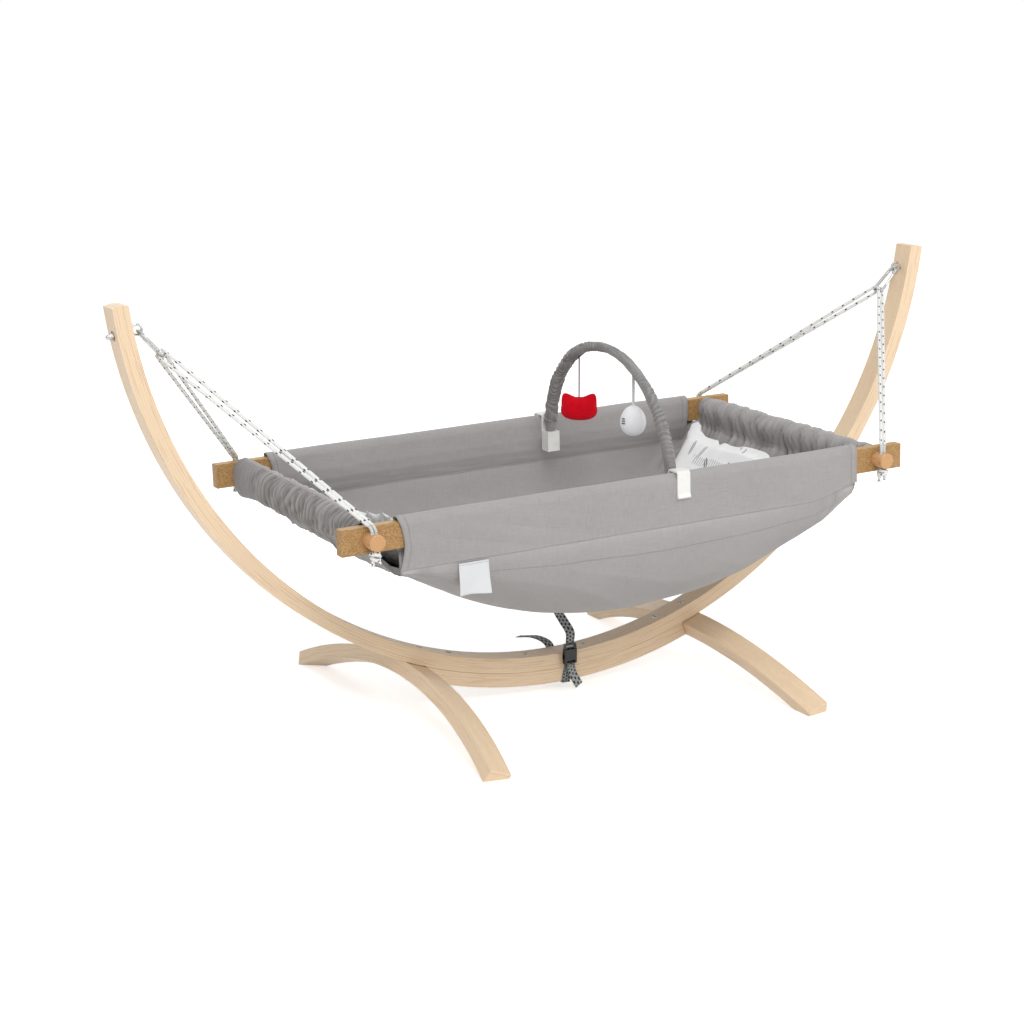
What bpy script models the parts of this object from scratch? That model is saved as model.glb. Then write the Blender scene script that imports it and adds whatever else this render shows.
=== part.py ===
"""Hammock cradle: a canvas sling on two rails and two cross bars, hung by ropes in a laminated bow stand."""

import math

import bmesh
import bpy
from mathutils import Matrix, Vector

# Units and clearances
MM = 0.001
SEAT_GAP = 0.3 * MM
LOOSE_GAP = 0.6 * MM
OVERRUN = 4 * MM

# Bow: two bent arms that meet at the middle, with a lower strip under the joint
BOW_RADIUS = 726.1 * MM
BOW_FLOOR_HEIGHT = 64.6 * MM
BOW_WIDTH = 40 * MM
ARM_THICKNESS = 25.6 * MM
ARM_END_ANGLE = math.radians(82.83)
ARM_TIP_BULGE = 1.5 * MM
ARM_SEGMENTS = 40
STRIP_THICKNESS = 23.8 * MM
WOOD_BEVEL = 1.2 * MM

# Feet: an arch across the bow near each end of the lower strip
FOOT_ANGLE = math.radians(20.65)
FOOT_RADIUS = 784.5 * MM
FOOT_HALF_ANGLE = math.radians(25.96)
FOOT_WIDTH = 38 * MM
FOOT_THICKNESS = 24.7 * MM
FOOT_SEGMENTS = 20

# Frame bolts, counted along the bow from its middle
BOLT_ANGLES = (math.radians(4.43), math.radians(16.05), math.radians(20.48))
BOLT_SHIFT = math.radians(0.2)
BOLT_SHANK_RADIUS = 3 * MM
BOLT_HEAD_RADIUS = 5.5 * MM
BOLT_HEAD_HEIGHT = 3.2 * MM
BOLT_HEAD_SINK = 0.6 * MM
BOLT_SOCKET_RADIUS = 2.6 * MM
BOLT_SOCKET_DEPTH = 2.2 * MM
NUT_RADIUS = 5.8 * MM
NUT_HEIGHT = 6.2 * MM
NUT_FLANGE_RADIUS = 7 * MM
NUT_FLANGE_HEIGHT = 1.4 * MM
NUT_POCKET_DEPTH = 8.4 * MM
ROUND_STEPS = 16
SHARP_ANGLE = math.radians(40)

# Eye bolts and cap nuts at the tips
EYE_ANGLE = math.radians(79.6)
EYE_INSET = 11.1 * MM
EYE_RING_RADIUS = 8 * MM
EYE_WIRE_RADIUS = 2 * MM
EYE_WIRE_SIDES = 8
EYE_RING_STEPS = 20
EYE_SHANK_RADIUS = 3 * MM
CAP_NUT_RADIUS = 5.8 * MM
CAP_NUT_HEX_HEIGHT = 6.5 * MM
CAP_NUT_HEIGHT = 14 * MM
CAP_RECESS_RADIUS = 7.8 * MM
CAP_RECESS_DEPTH = 2.5 * MM

# Carabiners: round wire bent to a pear, with a gate on the front side
CARABINER_WIRE = 3 * MM
CARABINER_LENGTH = 60 * MM
CARABINER_STEPS = 8
CARABINER_TOP_RADIUS = 8 * MM
CARABINER_BOTTOM_RADIUS = 11 * MM
GATE_RADIUS = 2.3 * MM
GATE_LENGTH = 24 * MM
GATE_PIVOT_RISE = 4.5 * MM

# Cradle frame: where it hangs, and its rails and cross bars
CRADLE_PLACE = (6.9 * MM, 0.0, 381 * MM)
CRADLE_YAW = math.radians(-1.56)
CRADLE_PITCH = math.radians(1.52)
RAIL_LENGTH = 1002 * MM
RAIL_HEIGHT = 40 * MM
RAIL_THICKNESS = 18 * MM
RAIL_SPREAD = 252.9 * MM
BAR_RADIUS = 12.5 * MM
BAR_PLACE = 454 * MM
BAR_PROUD = 25 * MM

# Ropes: one doubled rope a corner, knotted under the cross bar
ROPE_RADIUS = 2.5 * MM
ROPE_PAIR_HALF = 2.8 * MM
ROPE_KNEE_RISE = 8 * MM
ROPE_HOLD = 12 * MM
ROPE_MERGE = 70 * MM
ROPE_BEND = 9 * MM
ROPE_RUN_POINTS = 9
KNOT_RADIUS = 8.2 * MM
KNOT_WAIST = 5.1 * MM
KNOT_HEIGHT = 13 * MM
KNOT_TAIL = 9 * MM
KNOT_TAIL_LEAN = math.radians(14)

# Canvas: rail sleeves, sling and gathered end sleeves
CANVAS = 2 * MM
SLEEVE_HALF_LENGTH = 410 * MM
SLEEVE_TOP = 28 * MM
SLEEVE_SEAM = 57 * MM
SLEEVE_SEAM_WIDTH = 4 * MM
SLING_HALF_LENGTH = 440 * MM
SLING_CORNER = 29 * MM
SLING_REACH = 502.3 * MM
SLING_DEPTH = 225.6 * MM
SLING_LEAN = 0.147
SLING_END_DEPTH = 27 * MM
SLING_FULLNESS = 2.06
SLING_SIDE_SHAPE = 2.73
SLING_END_SAG = 6 * MM
SLING_FOLD = 2.5 * MM
SLING_FOLDS = 9
SLING_COLUMNS = 26
SLING_ROWS = 22
END_SLEEVE_RADIUS = 17.5 * MM
END_SLEEVE_STRETCH = 1.2
END_GATHER = 1.6 * MM
END_GATHERS = 13
LABEL_SIZE = 50 * MM
LABEL_THICKNESS = 1 * MM
LABEL_PLACE = -291 * MM

# Pad lying in the sling
PAD_HALF_LENGTH = 392 * MM
PAD_HALF_WIDTH = 196 * MM
PAD_THICKNESS = 26 * MM
PAD_EDGE_THICKNESS = 8 * MM
PAD_LIFT = 1.6 * MM
PAD_END_LIFT = 46 * MM
PAD_COLUMNS = 14
PAD_ROWS = 8
PAD_CHANNEL_DEPTH = 3 * MM

# Toy arch: a soft tube in two clips, slanted across the rails
ARCH_PLACE = 96.5 * MM
ARCH_SLANT = math.radians(4.93)
ARCH_HEIGHT = 184.5 * MM
ARCH_TUBE_RADIUS = 8.5 * MM
ARCH_SEGMENTS = 36
CLIP_WIDTH = 23 * MM
CLIP_WALL = 2.6 * MM
CLIP_TONGUE_DROP = 10 * MM
SOCKET_TOP = 3 * MM
SOCKET_LENGTH = 35 * MM
ARCH_PLUG = 20 * MM
TOY_SPREAD = 103 * MM
TOY_TURN = math.radians(60.3)
TOY_STRING_RADIUS = 0.8 * MM
RED_TOY_DROP = 79 * MM
RED_TOY_SIZE = (34 * MM, 60 * MM, 42 * MM)
RED_EAR_SIZE = (12 * MM, 17 * MM, 22 * MM)
RED_EAR_SPREAD = 18.5 * MM
RED_EAR_SINK = 0.28
RED_EAR_LEAN = math.radians(18)
WHITE_TOY_DROP = 57 * MM
WHITE_TOY_SIZE = (22 * MM, 40 * MM, 52 * MM)
RIBBON_WIDTH = 5 * MM
RIBBON_THICKNESS = 0.9 * MM

# Safety strap and its side-release buckle, in front of the bow
WEB_WIDTH = 15 * MM
WEB_THICKNESS = 1.4 * MM
STRAP_PLACE = 17 * MM
BUCKLE_LENGTH = 26 * MM
BUCKLE_WIDTH = 24 * MM
BUCKLE_DEPTH = 8.5 * MM
BUCKLE_WALL = 1.5 * MM
BUCKLE_TOP = 72 * MM
LATCH_HEAD = 9 * MM
LATCH_PRONG = 2.6 * MM
LATCH_REACH = 17 * MM
TAIL_LENGTH = 36 * MM
REAR_TAIL_REACH = 62 * MM
STRAP_TOP_PLACE = 10.5 * MM

# Derived sizes of the bow
BOW_CENTRE = Vector((0, 0, BOW_FLOOR_HEIGHT + BOW_RADIUS))
ARM_OUTER_RADIUS = BOW_RADIUS + ARM_THICKNESS
STRIP_INNER_RADIUS = ARM_OUTER_RADIUS + SEAT_GAP
STRIP_OUTER_RADIUS = STRIP_INNER_RADIUS + STRIP_THICKNESS
FOOT_SHADOW_ANGLE = math.asin((FOOT_WIDTH / 2 + SEAT_GAP) / ARM_OUTER_RADIUS)
STRIP_END_ANGLE = FOOT_ANGLE - FOOT_SHADOW_ANGLE
UP = Vector((0, 0, 1))
ACROSS = Vector((0, 1, 0))


def clear_scene():
    for obj in list(bpy.data.objects):
        bpy.data.objects.remove(obj)


def collection(name, hidden=False):
    made = bpy.data.collections.new(name)
    bpy.context.scene.collection.children.link(made)
    made.hide_render = hidden
    return made


def material(name, colour, roughness, metallic=0.0):
    made = bpy.data.materials.new(name)
    made.use_nodes = True
    shader = made.node_tree.nodes["Principled BSDF"]
    shader.inputs["Base Color"].default_value = (*colour, 1)
    shader.inputs["Roughness"].default_value = roughness
    shader.inputs["Metallic"].default_value = metallic
    return made


def finish(name, data, shade, matrix=None, parent=None):
    """Names, colours, places and links one object; matrix is its place in the world."""
    obj = bpy.data.objects.new(name, data)
    PARTS.objects.link(obj)
    data.materials.clear()
    data.materials.append(shade)
    set_place(obj, matrix, parent)
    return obj


def set_place(obj, matrix, parent):
    if parent is not None:
        bpy.context.view_layer.update()
        obj.parent = parent
        obj.matrix_parent_inverse = parent.matrix_world.inverted()
    obj.matrix_basis = matrix or Matrix.Identity(4)


def empty(name, matrix, parent=None):
    made = bpy.data.objects.new(name, None)
    PARTS.objects.link(made)
    made.empty_display_size = BOW_WIDTH
    set_place(made, matrix, parent)
    bpy.context.view_layer.update()
    return made


def mesh_from(mesh_maker, name):
    """Runs mesh_maker on a bmesh and returns the closed mesh, with its faces pointing out."""
    form = bmesh.new()
    mesh_maker(form)
    bmesh.ops.recalc_face_normals(form, faces=form.faces)
    if form.calc_volume(signed=True) < 0:
        bmesh.ops.reverse_faces(form, faces=form.faces)
    data = bpy.data.meshes.new(name)
    form.to_mesh(data)
    form.free()
    return data


def smooth(data):
    data.shade_smooth()
    data.set_sharp_from_angle(angle=SHARP_ANGLE)
    return data


def cylinder_mesh(name, radius, height, base=0.0, steps=ROUND_STEPS, top_radius=None):
    """A cylinder, cone or prism that stands on z = base."""
    def make(form):
        bmesh.ops.create_cone(
            form,
            cap_ends=True,
            segments=steps,
            radius1=radius,
            radius2=radius if top_radius is None else top_radius,
            depth=height,
            matrix=Matrix.Translation((0, 0, base + height / 2)),
        )

    return smooth(mesh_from(make, name))


def box_mesh(name, size, centre=(0, 0, 0)):
    def make(form):
        bmesh.ops.create_cube(form, size=1, matrix=Matrix.LocRotScale(Vector(centre), None, Vector(size)))

    return mesh_from(make, name)


def ball_mesh(name, size, steps=ROUND_STEPS):
    def make(form):
        scale = Matrix.Diagonal((*size, 1))
        bmesh.ops.create_uvsphere(form, u_segments=steps, v_segments=steps // 2, radius=0.5, matrix=scale)

    return smooth(mesh_from(make, name))


def welded_mesh(obj):
    """The closed mesh of a curve object, which it then removes."""
    bpy.context.view_layer.update()
    graph = bpy.context.evaluated_depsgraph_get()
    data = bpy.data.meshes.new_from_object(obj.evaluated_get(graph))
    form = bmesh.new()
    form.from_mesh(data)
    bmesh.ops.remove_doubles(form, verts=form.verts, dist=SEAT_GAP / 100)
    bmesh.ops.recalc_face_normals(form, faces=form.faces)
    form.to_mesh(data)
    form.free()
    bpy.data.objects.remove(obj)
    return data


def plate_mesh(name, outlines, width):
    """A flat outline, with any holes, in the local XY plane, width thick about z = 0."""
    curve = bpy.data.curves.new(name, "CURVE")
    curve.dimensions = "2D"
    curve.fill_mode = "BOTH"
    curve.extrude = width / 2
    for outline in outlines:
        spline = curve.splines.new("POLY")
        spline.points.add(len(outline) - 1)
        for point, place in zip(spline.points, outline):
            point.co = (place[0], place[1], 0, 1)
        spline.use_cyclic_u = True
    obj = bpy.data.objects.new(name, curve)
    PARTS.objects.link(obj)
    return welded_mesh(obj)


def tube_mesh(name, points, radius, cyclic=False, radii=None):
    """A round bar along a list of points."""
    curve = bpy.data.curves.new(name, "CURVE")
    curve.dimensions = "3D"
    curve.bevel_depth = radius
    curve.bevel_resolution = 2
    curve.use_fill_caps = True
    spline = curve.splines.new("POLY")
    spline.points.add(len(points) - 1)
    for index, (point, place) in enumerate(zip(spline.points, points)):
        point.co = (*place, 1)
        point.radius = radii[index] if radii else 1
    spline.use_cyclic_u = cyclic
    obj = bpy.data.objects.new(name, curve)
    PARTS.objects.link(obj)
    return smooth(welded_mesh(obj))


def turned_mesh(name, profile, steps=ROUND_STEPS, closed=False):
    """A profile of (radius, height) points, outer side from top to bottom, turned about Z."""
    form = bmesh.new()
    corners = [form.verts.new((radius, 0, height)) for radius, height in profile]
    for first, second in zip(corners, corners[1:]):
        form.edges.new((first, second))
    if closed:
        form.edges.new((corners[-1], corners[0]))
    data = bpy.data.meshes.new(name)
    form.to_mesh(data)
    form.free()
    obj = bpy.data.objects.new(name, data)
    PARTS.objects.link(obj)
    screw = obj.modifiers.new("turn", "SCREW")
    screw.steps = steps
    screw.render_steps = steps
    screw.use_merge_vertices = True
    screw.merge_threshold = SEAT_GAP / 10
    screw.use_smooth_shade = False
    return smooth(welded_mesh(obj))


def cutter(name, data, matrix):
    obj = bpy.data.objects.new(name, data)
    CUTTERS.objects.link(obj)
    obj.matrix_basis = matrix
    obj.hide_render = True
    obj.display_type = "WIRE"
    return obj


def boolean(obj, other, operation="DIFFERENCE"):
    modifier = obj.modifiers.new(other.name, "BOOLEAN")
    modifier.operation = operation
    modifier.object = other


def bevel(obj, width, segments=1):
    modifier = obj.modifiers.new("edges", "BEVEL")
    modifier.width = width
    modifier.segments = segments
    modifier.limit_method = "ANGLE"
    modifier.angle_limit = SHARP_ANGLE


def arc(radius, start, end, count, centre=(0, 0)):
    """Points on an arc; the angle is counted from straight down."""
    steps = [start + (end - start) * index / count for index in range(count + 1)]
    return [(centre[0] + radius * math.sin(a), centre[1] - radius * math.cos(a)) for a in steps]


def bow_point(angle, radius):
    return BOW_CENTRE + Vector((radius * math.sin(angle), 0, -radius * math.cos(angle)))


def bow_frame(angle, radius):
    """A frame on the bow: z points to the bow's centre, y across the bow."""
    toward = Vector((-math.sin(angle), 0, math.cos(angle)))
    along = ACROSS.cross(toward)
    turn = Matrix((along, ACROSS, toward)).transposed().to_4x4()
    return Matrix.Translation(bow_point(angle, radius)) @ turn


def upright(matrix=None):
    """Stands a flat outline up: its y becomes world Z and its thickness lies along Y."""
    stand = Matrix.Rotation(math.pi / 2, 4, "X")
    return stand if matrix is None else matrix @ stand


def cross_section():
    """Turns a flat outline so that its x and y become a frame's y and z, and its thickness lies along x."""
    return Matrix((ACROSS, UP, UP.cross(ACROSS) * -1)).transposed().to_4x4()


def bolt_angles():
    """(name, angle, whether it goes through a foot) of each frame bolt, left to right."""
    places = [-angle for angle in reversed(BOLT_ANGLES)] + list(BOLT_ANGLES)
    names = ("left_outer", "left_middle", "left_inner", "right_inner", "right_middle", "right_outer")
    return [(name, place + BOLT_SHIFT, abs(place) == BOLT_ANGLES[-1]) for name, place in zip(names, places)]


def bolt_holes(obj, tag, low, high, keep):
    """Cuts the bolt holes, with head counterbores, whose angles lie between low and high."""
    for name, angle, _ in bolt_angles():
        if low < angle < high and keep(name):
            frame = bow_frame(angle, BOW_RADIUS)
            reach = 2 * (ARM_THICKNESS + STRIP_THICKNESS)
            hole = cylinder_mesh("hole", BOLT_SHANK_RADIUS + SEAT_GAP, 2 * reach, -reach)
            boolean(obj, cutter(f"hole_{tag}_{name}", hole, frame))
            sink = BOLT_HEAD_SINK + BOLT_HEAD_HEIGHT + SEAT_GAP
            bore = cylinder_mesh("bore", BOLT_HEAD_RADIUS + SEAT_GAP, sink + OVERRUN, -sink)
            boolean(obj, cutter(f"bore_{tag}_{name}", bore, frame))


def make_arm(side, name, shade):
    """One bent arm, from the joint at the bow's middle to its tip."""
    start = SEAT_GAP / 2 / BOW_RADIUS
    middle = (BOW_CENTRE.x, BOW_CENTRE.z)
    inner = arc(BOW_RADIUS, start, ARM_END_ANGLE, ARM_SEGMENTS, middle)
    outer = arc(ARM_OUTER_RADIUS, ARM_END_ANGLE, start, ARM_SEGMENTS, middle)
    bulge_angle = ARM_END_ANGLE + ARM_TIP_BULGE / BOW_RADIUS
    bulge = arc(BOW_RADIUS + ARM_THICKNESS / 2, bulge_angle, bulge_angle, 1, middle)[:1]
    outline = [(side * x, z) for x, z in inner + bulge + outer]
    obj = finish(name, plate_mesh(name, [outline], BOW_WIDTH), shade, upright())
    bevel(obj, WOOD_BEVEL)
    low, high = (0, ARM_END_ANGLE) if side > 0 else (-ARM_END_ANGLE, 0)
    bolt_holes(obj, name, low, high, lambda place: True)
    frame = bow_frame(side * EYE_ANGLE, ARM_OUTER_RADIUS)
    hole = cylinder_mesh("eye_hole", EYE_SHANK_RADIUS + SEAT_GAP, ARM_THICKNESS + 2 * OVERRUN, -OVERRUN)
    boolean(obj, cutter(f"eye_hole_{name}", hole, frame))
    recess = cylinder_mesh("recess", CAP_RECESS_RADIUS, CAP_RECESS_DEPTH + OVERRUN, -OVERRUN, 24)
    boolean(obj, cutter(f"recess_{name}", recess, frame))
    return obj


def make_strip(shade):
    """The lower strip, which butts against both feet and takes the four inner bolts."""
    middle = (BOW_CENTRE.x, BOW_CENTRE.z)
    count = ARM_SEGMENTS * 2 // 5
    inner = arc(STRIP_INNER_RADIUS, -STRIP_END_ANGLE, STRIP_END_ANGLE, count, middle)
    outer = arc(STRIP_OUTER_RADIUS, STRIP_END_ANGLE, -STRIP_END_ANGLE, count, middle)
    obj = finish("lower_strip", plate_mesh("lower_strip", [inner + outer], BOW_WIDTH), shade, upright())
    bevel(obj, WOOD_BEVEL)
    bolt_holes(obj, "lower_strip", -STRIP_END_ANGLE, STRIP_END_ANGLE, lambda place: "outer" not in place)
    for name, angle, in_foot in bolt_angles():
        if not in_foot:
            height = NUT_POCKET_DEPTH + OVERRUN
            pocket = cylinder_mesh("pocket", NUT_FLANGE_RADIUS + LOOSE_GAP, height, -OVERRUN)
            boolean(obj, cutter(f"pocket_{name}", pocket, bow_frame(angle, STRIP_OUTER_RADIUS)))
    return obj


def make_foot(side, name, shade):
    """An arched foot across the bow, with its ends cut flat by the floor."""
    under = FOOT_RADIUS - FOOT_THICKNESS
    upper = arc(FOOT_RADIUS, -FOOT_HALF_ANGLE, FOOT_HALF_ANGLE, FOOT_SEGMENTS)
    lower = arc(under, FOOT_HALF_ANGLE, -FOOT_HALF_ANGLE, FOOT_SEGMENTS)
    outline = [(x, -z - FOOT_RADIUS) for x, z in upper + lower]
    frame = bow_frame(side * FOOT_ANGLE, ARM_OUTER_RADIUS + SEAT_GAP)
    obj = finish(name, plate_mesh(name, [outline], FOOT_WIDTH), shade, frame @ cross_section())
    bevel(obj, WOOD_BEVEL)
    slab = box_mesh("floor", (FOOT_RADIUS, FOOT_RADIUS, BOW_FLOOR_HEIGHT))
    floor = Matrix.Translation((side * FOOT_RADIUS / 2, 0, -BOW_FLOOR_HEIGHT / 2))
    boolean(obj, cutter(f"floor_{name}", slab, floor))
    angle = side * BOLT_ANGLES[-1] + BOLT_SHIFT
    reach = FOOT_THICKNESS + OVERRUN
    hole = cylinder_mesh("foot_hole", BOLT_SHANK_RADIUS + SEAT_GAP, 2 * reach, -reach)
    boolean(obj, cutter(f"foot_hole_{name}", hole, bow_frame(angle, ARM_OUTER_RADIUS + FOOT_THICKNESS / 2)))
    return obj


def make_bolt(name, angle, in_foot, shade):
    """A round-head bolt with a hex socket; its origin is on the arm's inner face."""
    wood = ARM_THICKNESS + SEAT_GAP + (FOOT_THICKNESS if in_foot else STRIP_THICKNESS)
    reach = wood + (NUT_HEIGHT if in_foot else NUT_HEIGHT - NUT_POCKET_DEPTH)
    head = BOLT_HEAD_RADIUS
    top = -BOLT_HEAD_SINK
    under = top - BOLT_HEAD_HEIGHT
    edge = BOLT_HEAD_HEIGHT / 6
    profile = [
        (0, top),
        (head - edge, top),
        (head, top - edge),
        (head, under),
        (BOLT_SHANK_RADIUS, under),
        (BOLT_SHANK_RADIUS, edge - reach),
        (BOLT_SHANK_RADIUS - edge, -reach),
        (0, -reach),
    ]
    frame = bow_frame(angle, BOW_RADIUS)
    obj = finish(name, turned_mesh(name, profile), shade, frame)
    height = BOLT_SOCKET_DEPTH + OVERRUN
    socket = cylinder_mesh("socket", BOLT_SOCKET_RADIUS, height, top - BOLT_SOCKET_DEPTH, 6)
    boolean(obj, cutter(f"socket_{name}", socket, frame))
    return obj


def make_nut(name, angle, in_foot, shade):
    """A flanged hex nut: proud under a foot, inside its pocket under the strip."""
    seat = STRIP_OUTER_RADIUS - NUT_POCKET_DEPTH
    if in_foot:
        seat = STRIP_INNER_RADIUS + FOOT_THICKNESS
    frame = bow_frame(angle, seat + SEAT_GAP)
    obj = finish(name, cylinder_mesh(name, NUT_RADIUS, NUT_HEIGHT, -NUT_HEIGHT, 6), shade, frame)
    flange = cylinder_mesh("flange", NUT_FLANGE_RADIUS, NUT_FLANGE_HEIGHT, -NUT_FLANGE_HEIGHT)
    boolean(obj, cutter(f"flange_{name}", flange, frame), "UNION")
    bore = cylinder_mesh("nut_bore", BOLT_SHANK_RADIUS + SEAT_GAP, 2 * NUT_HEIGHT, -3 * NUT_HEIGHT / 2)
    boolean(obj, cutter(f"bore_{name}", bore, frame))
    return obj


def eye_centre(side):
    return bow_point(side * EYE_ANGLE, BOW_RADIUS - EYE_INSET)


def make_eye_bolt(side, name, shade):
    """A ring on a shank that runs out through the arm into the cap nut."""
    def ring(form):
        loops = []
        for index in range(EYE_RING_STEPS):
            turn = Matrix.Rotation(math.tau * index / EYE_RING_STEPS, 4, "Y")
            made = bmesh.ops.create_circle(
                form,
                segments=EYE_WIRE_SIDES,
                radius=EYE_WIRE_RADIUS,
                matrix=turn @ Matrix.Translation((EYE_RING_RADIUS, 0, 0)),
            )
            loops.append([edge for vert in made["verts"] for edge in vert.link_edges])
        for first, second in zip(loops, loops[1:] + loops[:1]):
            bmesh.ops.bridge_loops(form, edges=list(dict.fromkeys(first + second)))

    frame = bow_frame(side * EYE_ANGLE, BOW_RADIUS - EYE_INSET)
    obj = finish(name, smooth(mesh_from(ring, name)), shade, frame)
    reach = EYE_INSET + ARM_THICKNESS - CAP_RECESS_DEPTH + CAP_NUT_HEIGHT / 2
    shank = cylinder_mesh("shank", EYE_SHANK_RADIUS, reach - EYE_RING_RADIUS, -reach)
    boolean(obj, cutter(f"shank_{name}", shank, frame), "UNION")
    return obj


def make_cap_nut(side, name, shade):
    """A domed hex nut that closes over the end of the eye bolt."""
    frame = bow_frame(side * EYE_ANGLE, ARM_OUTER_RADIUS - CAP_RECESS_DEPTH + SEAT_GAP)
    hexagon = cylinder_mesh(name, CAP_NUT_RADIUS, CAP_NUT_HEX_HEIGHT, -CAP_NUT_HEX_HEIGHT, 6)
    obj = finish(name, hexagon, shade, frame)
    dome_radius = CAP_NUT_RADIUS * math.cos(math.pi / 6) - SEAT_GAP
    dome_height = CAP_NUT_HEIGHT - CAP_NUT_HEX_HEIGHT
    rise = [math.pi / 2 * index / 5 for index in range(6)]
    profile = [(0, -CAP_NUT_HEX_HEIGHT / 2), (dome_radius, -CAP_NUT_HEX_HEIGHT / 2)]
    for a in rise:
        profile.append((dome_radius * math.cos(a), -CAP_NUT_HEX_HEIGHT - dome_height * math.sin(a)))
    boolean(obj, cutter(f"dome_{name}", turned_mesh("dome", profile), frame), "UNION")
    depth = CAP_NUT_HEIGHT / 2 + LOOSE_GAP
    bore = cylinder_mesh("cap_bore", EYE_SHANK_RADIUS + SEAT_GAP, depth + OVERRUN, -depth)
    boolean(obj, cutter(f"cap_bore_{name}", bore, frame))
    return obj


# Places on the cradle, in its own frame: x along the rails, y across, z up
CRADLE = (
    Matrix.Translation(CRADLE_PLACE)
    @ Matrix.Rotation(CRADLE_YAW, 4, "Z")
    @ Matrix.Rotation(-CRADLE_PITCH, 4, "Y")
)
RAIL_OUTER = RAIL_SPREAD + RAIL_THICKNESS / 2
RAIL_INNER = RAIL_SPREAD - RAIL_THICKNESS / 2
BAR_HALF_LENGTH = RAIL_OUTER + BAR_PROUD
ROPE_HOLE_PLACE = RAIL_OUTER + BAR_PROUD / 2
ROPE_HOLE_RADIUS = ROPE_PAIR_HALF + ROPE_RADIUS + LOOSE_GAP
SLEEVE_HALF_WIDTH = RAIL_THICKNESS / 2 + SEAT_GAP + CANVAS


def make_rail(side, name, shade, parent):
    """A side rail with a round hole for each cross bar."""
    size = (RAIL_LENGTH, RAIL_THICKNESS, RAIL_HEIGHT)
    matrix = CRADLE @ Matrix.Translation((0, side * RAIL_SPREAD, 0))
    obj = finish(name, box_mesh(name, size), shade, matrix, parent)
    bevel(obj, WOOD_BEVEL)
    for end in (-1, 1):
        hole = cylinder_mesh("bar_hole", BAR_RADIUS + SEAT_GAP, 2 * RAIL_THICKNESS, -RAIL_THICKNESS, 32)
        place = matrix @ Matrix.Translation((end * BAR_PLACE, 0, 0)) @ Matrix.Rotation(math.pi / 2, 4, "X")
        boolean(obj, cutter(f"bar_hole_{name}_{end}", hole, place))
    return obj


def make_cross_bar(end, name, shade, parent):
    """A round bar through both rails, with an upright rope hole near each end."""
    place = CRADLE @ Matrix.Translation((end * BAR_PLACE, 0, 0))
    bar = cylinder_mesh(name, BAR_RADIUS, 2 * BAR_HALF_LENGTH, -BAR_HALF_LENGTH, 32)
    obj = finish(name, bar, shade, place @ Matrix.Rotation(math.pi / 2, 4, "X"), parent)
    bevel(obj, WOOD_BEVEL)
    for side in (-1, 1):
        hole = cylinder_mesh("rope_hole", ROPE_HOLE_RADIUS, 3 * BAR_RADIUS, -3 * BAR_RADIUS / 2, 12)
        spot = place @ Matrix.Translation((0, side * ROPE_HOLE_PLACE, 0))
        boolean(obj, cutter(f"rope_hole_{name}_{side}", hole, spot))
    return obj


def carabiner_frame(side):
    """Origin at the eye's centre; z points down the ropes, y from the front rope hole to the rear one."""
    eye = eye_centre(side)
    front = CRADLE @ Vector((side * BAR_PLACE, -ROPE_HOLE_PLACE, BAR_RADIUS))
    rear = CRADLE @ Vector((side * BAR_PLACE, ROPE_HOLE_PLACE, BAR_RADIUS))
    width = (rear - front).normalized()
    down = (front + rear) / 2 - eye
    down = (down - width * down.dot(width)).normalized()
    turn = Matrix((width.cross(down), width, down)).transposed().to_4x4()
    return Matrix.Translation(eye) @ turn


CARABINER_TOP = EYE_RING_RADIUS - EYE_WIRE_RADIUS - CARABINER_WIRE - SEAT_GAP
CARABINER_SPAN = CARABINER_LENGTH - 2 * CARABINER_WIRE
TOP_ARC_PLACE = CARABINER_TOP + CARABINER_TOP_RADIUS
BOTTOM_ARC_PLACE = CARABINER_TOP + CARABINER_SPAN - CARABINER_BOTTOM_RADIUS
SIDE_LEAN = math.asin((CARABINER_BOTTOM_RADIUS - CARABINER_TOP_RADIUS) / (BOTTOM_ARC_PLACE - TOP_ARC_PLACE))


def carabiner_side(way):
    """Top and bottom end of one straight side, as (y, z) in the carabiner's frame."""
    lean = Vector((way * math.cos(SIDE_LEAN), -math.sin(SIDE_LEAN)))
    top = Vector((0, TOP_ARC_PLACE)) + lean * CARABINER_TOP_RADIUS
    bottom = Vector((0, BOTTOM_ARC_PLACE)) + lean * CARABINER_BOTTOM_RADIUS
    return top, bottom


def gate_pivot():
    top, bottom = carabiner_side(-1)
    return bottom + (top - bottom).normalized() * GATE_PIVOT_RISE


def make_carabiner(side, name, shade, parent):
    """The bent wire body, open on the front side where the gate sits."""
    front_top, front_bottom = carabiner_side(-1)
    up_front = (front_top - front_bottom).normalized()
    pivot = gate_pivot()
    start = pivot - up_front * (GATE_RADIUS + SEAT_GAP)
    nose = pivot + up_front * (GATE_LENGTH + SEAT_GAP)
    low = math.pi + 2 * SIDE_LEAN
    high = math.pi - 2 * SIDE_LEAN
    flat = [start]
    for index in range(CARABINER_STEPS + 1):
        a = low * (index / CARABINER_STEPS - 1 / 2)
        turned = Vector((math.sin(a), math.cos(a)))
        flat.append(turned * CARABINER_BOTTOM_RADIUS + Vector((0, BOTTOM_ARC_PLACE)))
    for index in range(CARABINER_STEPS + 1):
        a = math.pi + high * (index / CARABINER_STEPS - 1 / 2)
        turned = Vector((math.sin(a), math.cos(a)))
        flat.append(turned * CARABINER_TOP_RADIUS + Vector((0, TOP_ARC_PLACE)))
    flat.append(nose)
    points = [Vector((0, y, z)) for y, z in flat]
    return finish(name, tube_mesh(name, points, CARABINER_WIRE), shade, carabiner_frame(side), parent)


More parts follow.
